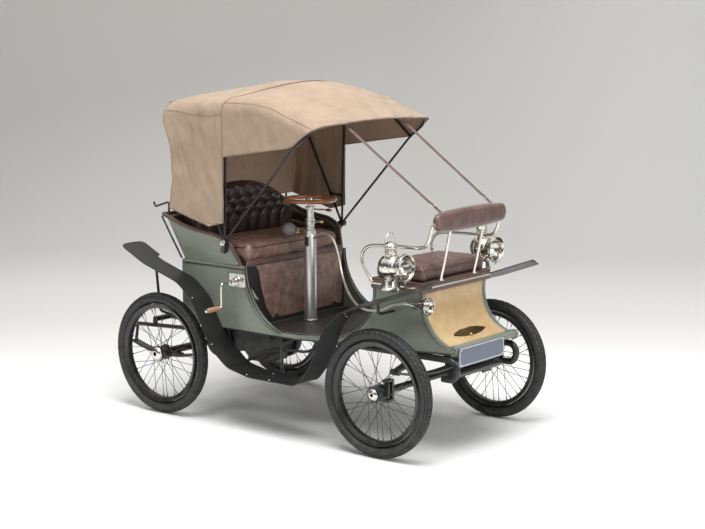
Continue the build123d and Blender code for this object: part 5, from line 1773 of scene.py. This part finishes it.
shaft = evenly(bent([(-0.458, CRANK_Z, 0), (-0.577, CRANK_Z, 0.014), (-0.577, HANDLE_Z, 0.014),
                     (-0.600, HANDLE_Z, 0)], 0.002), 80)
crank_path = at_x(shaft, CRANK_X)
hub_rings = turned([(-0.500, 0.0078), (-0.501, 0.0125), (-0.512, 0.0125), (-0.513, 0.0078)],
                   (CRANK_X, 0, CRANK_Z), "Y", 24)
end_cap = turned([(-0.6985, 0.0102), (-0.7005, 0.0102), (-0.7025, 0.004)], (CRANK_X, 0, HANDLE_Z),
                 "Y", 20)
piece("crank_arm", together(along(crank_path, circle(14, 0.0076), up=(1, 0, 0)), hub_rings,
                            end_cap), NICKEL, ["crank"], "crank", sharp=40)
handle = turned([(-0.592, 0.0095), (-0.594, 0.0118), (-0.602, 0.0120), (-0.606, 0.0105),
                 (-0.625, 0.0132),
                 (-0.650, 0.0148), (-0.675, 0.0138), (-0.690, 0.0115), (-0.6985, 0.0100)],
                (CRANK_X, 0, HANDLE_Z), "Y", 32)
piece("crank_handle", handle, PALE_WOOD, body="crank", sharp=50)


def rounded_plate(x0, x1, z0, z1, r, y0, y1):
    """A plate across the car's side with round corners and a bevelled edge."""
    ring = ring_path(x0, x1, z0, z1, 0, r)[:, :2]
    mid_p = ring.mean(0)
    rows = []
    for k, y in ((1.0, y0), (1.0, y1 - (y1 - y0) * 0.35), (0.965, y1)):
        q = mid_p + (ring - mid_p) * k
        rows.append(at_y(q, y))
    return skin(np.array(rows), round_v=True, caps=True)


boss = turned([(-0.4555, 0.0215), (-0.472, 0.0215), (-0.4745, 0.0195), (-0.4755, 0.0090),
               (-0.458, 0.0088)],
              (CRANK_X, 0, CRANK_Z), "Y", 36)
rings = [along(at_y(circle(140, r) + [CRANK_X, CRANK_Z], -0.4562), circle(5, 0.0009), up=(0, 1, 0),
               loop=True) for r in (0.026, 0.031)]
corner_bolts = [turned([(-0.4558, 0.005), (-0.4585, 0.0045), (-0.4592, 0.002)], (x, 0, z), "Y", 12)
                for x in (-0.326, -0.224) for z in (0.780, 0.842)]
piece("crank_bearing_plate", together(rounded_plate(-0.3345, -0.2155, 0.7725, 0.8495, 0.014,
                                                    -0.4505, -0.4558), boss, *rings),
      NICKEL, replaces=["crank_plate"], sharp=35)
piece("crank_plate_bolts", together(*corner_bolts), STEEL)


# Horn bell with a rolled rim.

HORN_Y, HORN_Z = -0.345, 0.785

outer = smooth_path([(0.807, 0.0098), (0.845, 0.0126), (0.880, 0.0185), (0.908, 0.0264),
                     (0.930, 0.0364), (0.946, 0.0442), (0.9540, 0.0476)], 40)
inner_h = smooth_path([(0.9555, 0.0452), (0.946, 0.0424), (0.930, 0.0346), (0.908, 0.0246),
                       (0.880, 0.0166), (0.845, 0.0108), (0.807, 0.0072)], 40)
lip_h = [(0.9562, 0.0478), (0.9570, 0.0466), (0.9566, 0.0456)]
bell = turned(np.vstack([outer, lip_h, inner_h]), (0, HORN_Y, HORN_Z), "X", 48)
neck = turned([(0.8055, 0.0098), (0.8065, 0.0118), (0.8155, 0.0118), (0.8165, 0.0100)],
              (0, HORN_Y, HORN_Z), "X", 32)
stay = along(straight((0.900, -0.304, 0.760), (0.850, -0.345, 0.7690), 8), circle(10, 0.0062))
piece("horn_bell", together(bell, neck), NICKEL, replaces=["horn"], sharp=45)
piece("horn_bracket", stay, IRON)


# Lamps.

LX, LY, LZ = 0.766, 0.423, 0.987
drum = turned([(0.7045, 0.001), (0.7045, 0.020), (0.7075, 0.031), (0.7145, 0.0418),
               (0.723, 0.0505), (0.732, 0.0565),
               (0.742, 0.0602), (0.752, 0.0617), (0.7535, 0.0600), (0.7555, 0.0617),
               (0.797, 0.0617), (0.7985, 0.0600),
               (0.8005, 0.0617), (0.808, 0.0580), (0.8145, 0.0542), (0.828, 0.0542),
               (0.837, 0.0595), (0.846, 0.0660),
               (0.8560, 0.0736), (0.8600, 0.0742), (0.8690, 0.0738), (0.8712, 0.0722),
               (0.8708, 0.0690), (0.8660, 0.0640),
               (0.8590, 0.0602), (0.8560, 0.0598), (0.8400, 0.0560), (0.8220, 0.0440),
               (0.8080, 0.0260), (0.8040, 0.0100), (0.8036, 0.0010)], (0, LY, LZ), "X", 64)
tower = turned([(0.8642, 0.0530), (0.8665, 0.0548), (0.8755, 0.0548), (0.8780, 0.0520),
                (0.8800, 0.0505), (0.8830, 0.0495),
                (0.8850, 0.0505), (0.8870, 0.0492), (0.9140, 0.0452), (0.9165, 0.0400),
                (0.9200, 0.0340), (0.9280, 0.0285), (0.9450, 0.0270)], (LX, LY, 0), "Z", 48)
stack = turned([(1.0400, 0.0275), (1.0480, 0.0278), (1.0520, 0.0300), (1.0545, 0.0338),
                (1.0600, 0.0340), (1.0625, 0.0300),
                (1.0640, 0.0270), (1.0660, 0.0270), (1.0668, 0.0245), (1.0800, 0.0245),
                (1.0808, 0.0275), (1.0830, 0.0275), (1.0840, 0.0335),
                (1.0880, 0.0338), (1.0900, 0.0280), (1.0925, 0.0270), (1.0945, 0.0322),
                (1.0985, 0.0328), (1.1040, 0.0300),
                (1.1090, 0.0240), (1.1130, 0.0160), (1.1155, 0.0080), (1.1165, 0.0010)],
               (LX, LY, 0), "Z", 48)
vents = [along(np.array([(LX + 0.0292 * math.cos(t), LY + 0.0292 * math.sin(t), z) for z in (1.060,
    1.070, 1.086)]),
               circle(6, 0.0018), up=(1, 0, 0)) for t in np.arange(8) * TAU / 8]
bt = np.linspace(0, math.pi, 40)
bail_yz = np.vstack([[(0.0495, 1.030), (0.0500, 1.060)],
                     np.stack([0.0500 * np.cos(bt), 1.090 + 0.0735 * np.sin(bt)], -1),
                     [(-0.0500, 1.060), (-0.0495, 1.030)]])
bail = along(evenly(at_x(bail_yz + [LY, 0], LX), 70), circle(8, 0.0021), up=(1, 0, 0))
ears = [turned([(LY + s * 0.0470, 0.007), (LY + s * 0.0525, 0.007), (LY + s * 0.0540, 0.004)],
               (LX, 0, 1.031), "Y", 14) for s in (-1, 1)]
hinge = [along(np.array([(0.8590, LY + s * 0.0745, LZ - 0.014), (0.8590, LY + s * 0.0745, LZ),
                         (0.8590, LY + s * 0.0745, LZ + 0.014)]),
               circle(10, 0.0045), up=(1, 0, 0)) for s in (-1, 1)]
clip_knob = turned([(LZ - 0.0735, 0.004), (LZ - 0.0800, 0.0055), (LZ - 0.0840, 0.003)],
                   (0.861, LY, 0), "Z", 14)
side_bolts = [bolt((0.775, LY + s * 0.0612, LZ), "Y", 0.006, 0.004, s) for s in (-1, 1)]
piece("lamp_bodies", both_sides(together(drum, tower, stack, *vents, *ears, *hinge, *side_bolts,
                                         clip_knob)), NICKEL,
      replaces=["lamps"], sharp=32)
piece("lamp_bails", both_sides(bail), NICKEL)
glass = turned([(0.8575, 0.0596), (0.8610, 0.0560), (0.8650, 0.0420), (0.8672, 0.0240),
                (0.8680, 0.0008)], (0, LY, LZ), "X", 48)
piece("lamp_glasses", both_sides(glass), GLASS, sharp=80)
burner = turned([(0.955, 0.010), (0.975, 0.0085), (0.978, 0.004), (0.984, 0.003)], (0.825, LY, 0),
                "Z", 16)
piece("lamp_burners", both_sides(burner), BRASS)
bracket = evenly(bent([(0.331, 0.853, 0), (LY, 0.853, 0.010), (LY, 0.866, 0)], 0.003), 30)
piece("lamp_brackets", both_sides(along(at_x(bracket, 0.757), circle(12, 0.0076), up=(1, 0, 0))),
      NICKEL)


# Straps from the hood to the bar back, with buckles.

STRAP_HALF = 0.0128

for s, side in SIDES:
    mid_s = np.array([0.670, s * 0.2485, 1.459])
    run = np.array([0.652, s * -0.019, -0.452])
    k = np.linspace(-0.485, 0.487, 60)
    centre = mid_s + k[:, None] * run
    centre[:, 2] -= 0.0015 * (1 - (2 * k) ** 2)
    up = np.array([0.57, 0, 0.82])
    d = run / np.linalg.norm(run)
    across = np.cross(d, up)
    w = np.linspace(-STRAP_HALF, STRAP_HALF, 9)
    cup = 0.0008 * (1 - (w / STRAP_HALF) ** 2)
    g = centre[:, None] + w[None, :, None] * across + cup[None, :, None] * up
    strap = piece(f"hood_strap_{side}", skin(g), HIDE,
                  replaces=["hood_straps"] if s < 0 else (), outward=False, sharp=80)
    hems = together(*[along(centre + e * across, circle(6, 0.0013),
                            up=(0, 1, 0)) for e in (-STRAP_HALF, STRAP_HALF)])
    stitched = piece(f"strap_edges_{side}", hems, HIDE_PIPE)
    at = mid_s + 0.36 * run
    loop = np.array([at + a * 0.0175 * across + b * 0.015 * d + 0.0022 * up for a,
                     b in ((-1, -1), (1, -1), (1, 1), (-1, 1))])
    loop = evenly(np.vstack([loop, loop[:1]]), 49)[:-1]
    buckle = piece(f"strap_buckle_{side}", along(loop, circle(8, 0.0016), up=tuple(up), loop=True),
                   NICKEL)


# Blank plate: pale border and four screws.

pb = ring_path(-0.289, 0.121, 0.481, 0.571, 0, 0.006)
border = along(evenly(at_x(pb, 1.1142), 200), oblong(0.0022, 0.0003), up=(1, 0, 0), loop=True)
piece("plate_border", border, PLATE_EDGE, sharp=40)
plate_screws = [turned([(1.1140, 0.0042), (1.1155, 0.0038), (1.1160, 0.0015)], (0, y, z), "X",
                       12) for y in (-0.276, 0.108)
                for z in (0.490, 0.562)]
piece("plate_screws", together(*plate_screws), NICKEL)

# Caps over the hood's pivots.

PIVOT, KNEE, POST, LATCH = (-0.304, 1.030), (0.201, 1.575), (-0.386, 1.206), (-0.303, 1.196)
pivot_cap = turned([(0.5395, 0.0195), (0.5425, 0.0185), (0.5445, 0.0120), (0.5500, 0.0105),
                    (0.5530, 0.0060), (0.5540, 0.0015)], (PIVOT[0], 0, PIVOT[1]), "Y", 24)
piece("hood_pivot_caps", both_sides(pivot_cap), NICKEL)


# Hood irons: square arched bars, flat irons that meet at the pivots, the front bar's
# ends swept back along the hood's edge to the strut's knee.

BW = 0.0055         # half the bars' width
CLOTH = 0.008       # the bars keep this far under the hood's outline, and their own space
SQUARE = oblong(BW, BW)


def roof_line(x, inset, n=80):
    """The bar's line under the roof at a station, right foot to left foot."""
    low = np.interp(x, HOOD_X, HOOD_SIDE_Z) - inset - 0.089
    half_line = hood_half(x, inset, low, n)
    return np.vstack([half_line, (half_line[:-1] * [-1, 1])[::-1]]), low


def flat_iron(a, b, s, n):
    """A flat bar on one side between two side view points."""
    return along(straight((a[0], s * 0.520, a[1]), (b[0], s * 0.520, b[1]), n),
                 oblong(0.004, BW), up=(1, 0, 0))


irons = []
for x, space in ((-0.640, 0.0012), (-0.285, 0.0004), (0.064, 0.0032)):
    yz, foot_z = roof_line(x, CLOTH + space + BW)
    irons.append(along(at_x(yz, x), SQUARE, up=(1, 0, 0)))
    for s in (-1, 1):
        irons.append(flat_iron(KNEE if x > 0 else PIVOT, (x, foot_z + 0.008), s, 6))
yz, _ = roof_line(0.330, CLOTH + 0.0032 + BW)
yz = yz[np.abs(yz[:, 0]) < 0.455]
sweep = [(0.3200, -0.490, 1.6775), (0.2960, -0.5135, 1.6490), (0.2600, -0.5215, 1.6200),
         (0.2280, -0.5225, 1.5950), (0.2010, -0.5210, 1.5760)]
front_bar = np.vstack([sweep[::-1], at_x(yz, 0.330), np.array(sweep) * [1, -1, 1]])
irons.append(along(evenly(smooth_path(front_bar, 400), 160), SQUARE, up=(1, 0, 0)))
for s in (-1, 1):
    irons.append(flat_iron(PIVOT, KNEE, s, 8))
    irons.append(flat_iron(POST, LATCH, s, 4))
    hook = evenly(bent([(-0.738, 1.122, 0), (-0.738, 1.222, 0.010), (-0.846, 1.187, 0.010),
                        (-0.858, 1.214, 0)], 0.003), 60)
    irons.append(along(at_y(hook, s * 0.511), circle(10, 0.0058), up=(0, 1, 0)))
    irons.append(turned([(s * 0.508, 0.0180), (s * 0.509, 0.0205), (s * 0.538, 0.0205),
                         (s * 0.5395, 0.0185)], (PIVOT[0], 0, PIVOT[1]), "Y", 28))
    irons.append(along(straight((-0.304, s * 0.512, 1.034), (-0.3345, s * 0.492, 0.970), 10),
                       oblong(0.014, 0.016), up=(0, 1, 0)))
    for x, z in (KNEE, POST, LATCH):
        irons.append(turned([(s * 0.5150, 0.0085), (s * 0.5265, 0.0085), (s * 0.5285, 0.0060)],
                            (x, 0, z), "Y", 14))
piece("hood_irons", together(*irons), IRON, replaces=["hood_bows"], sharp=40)
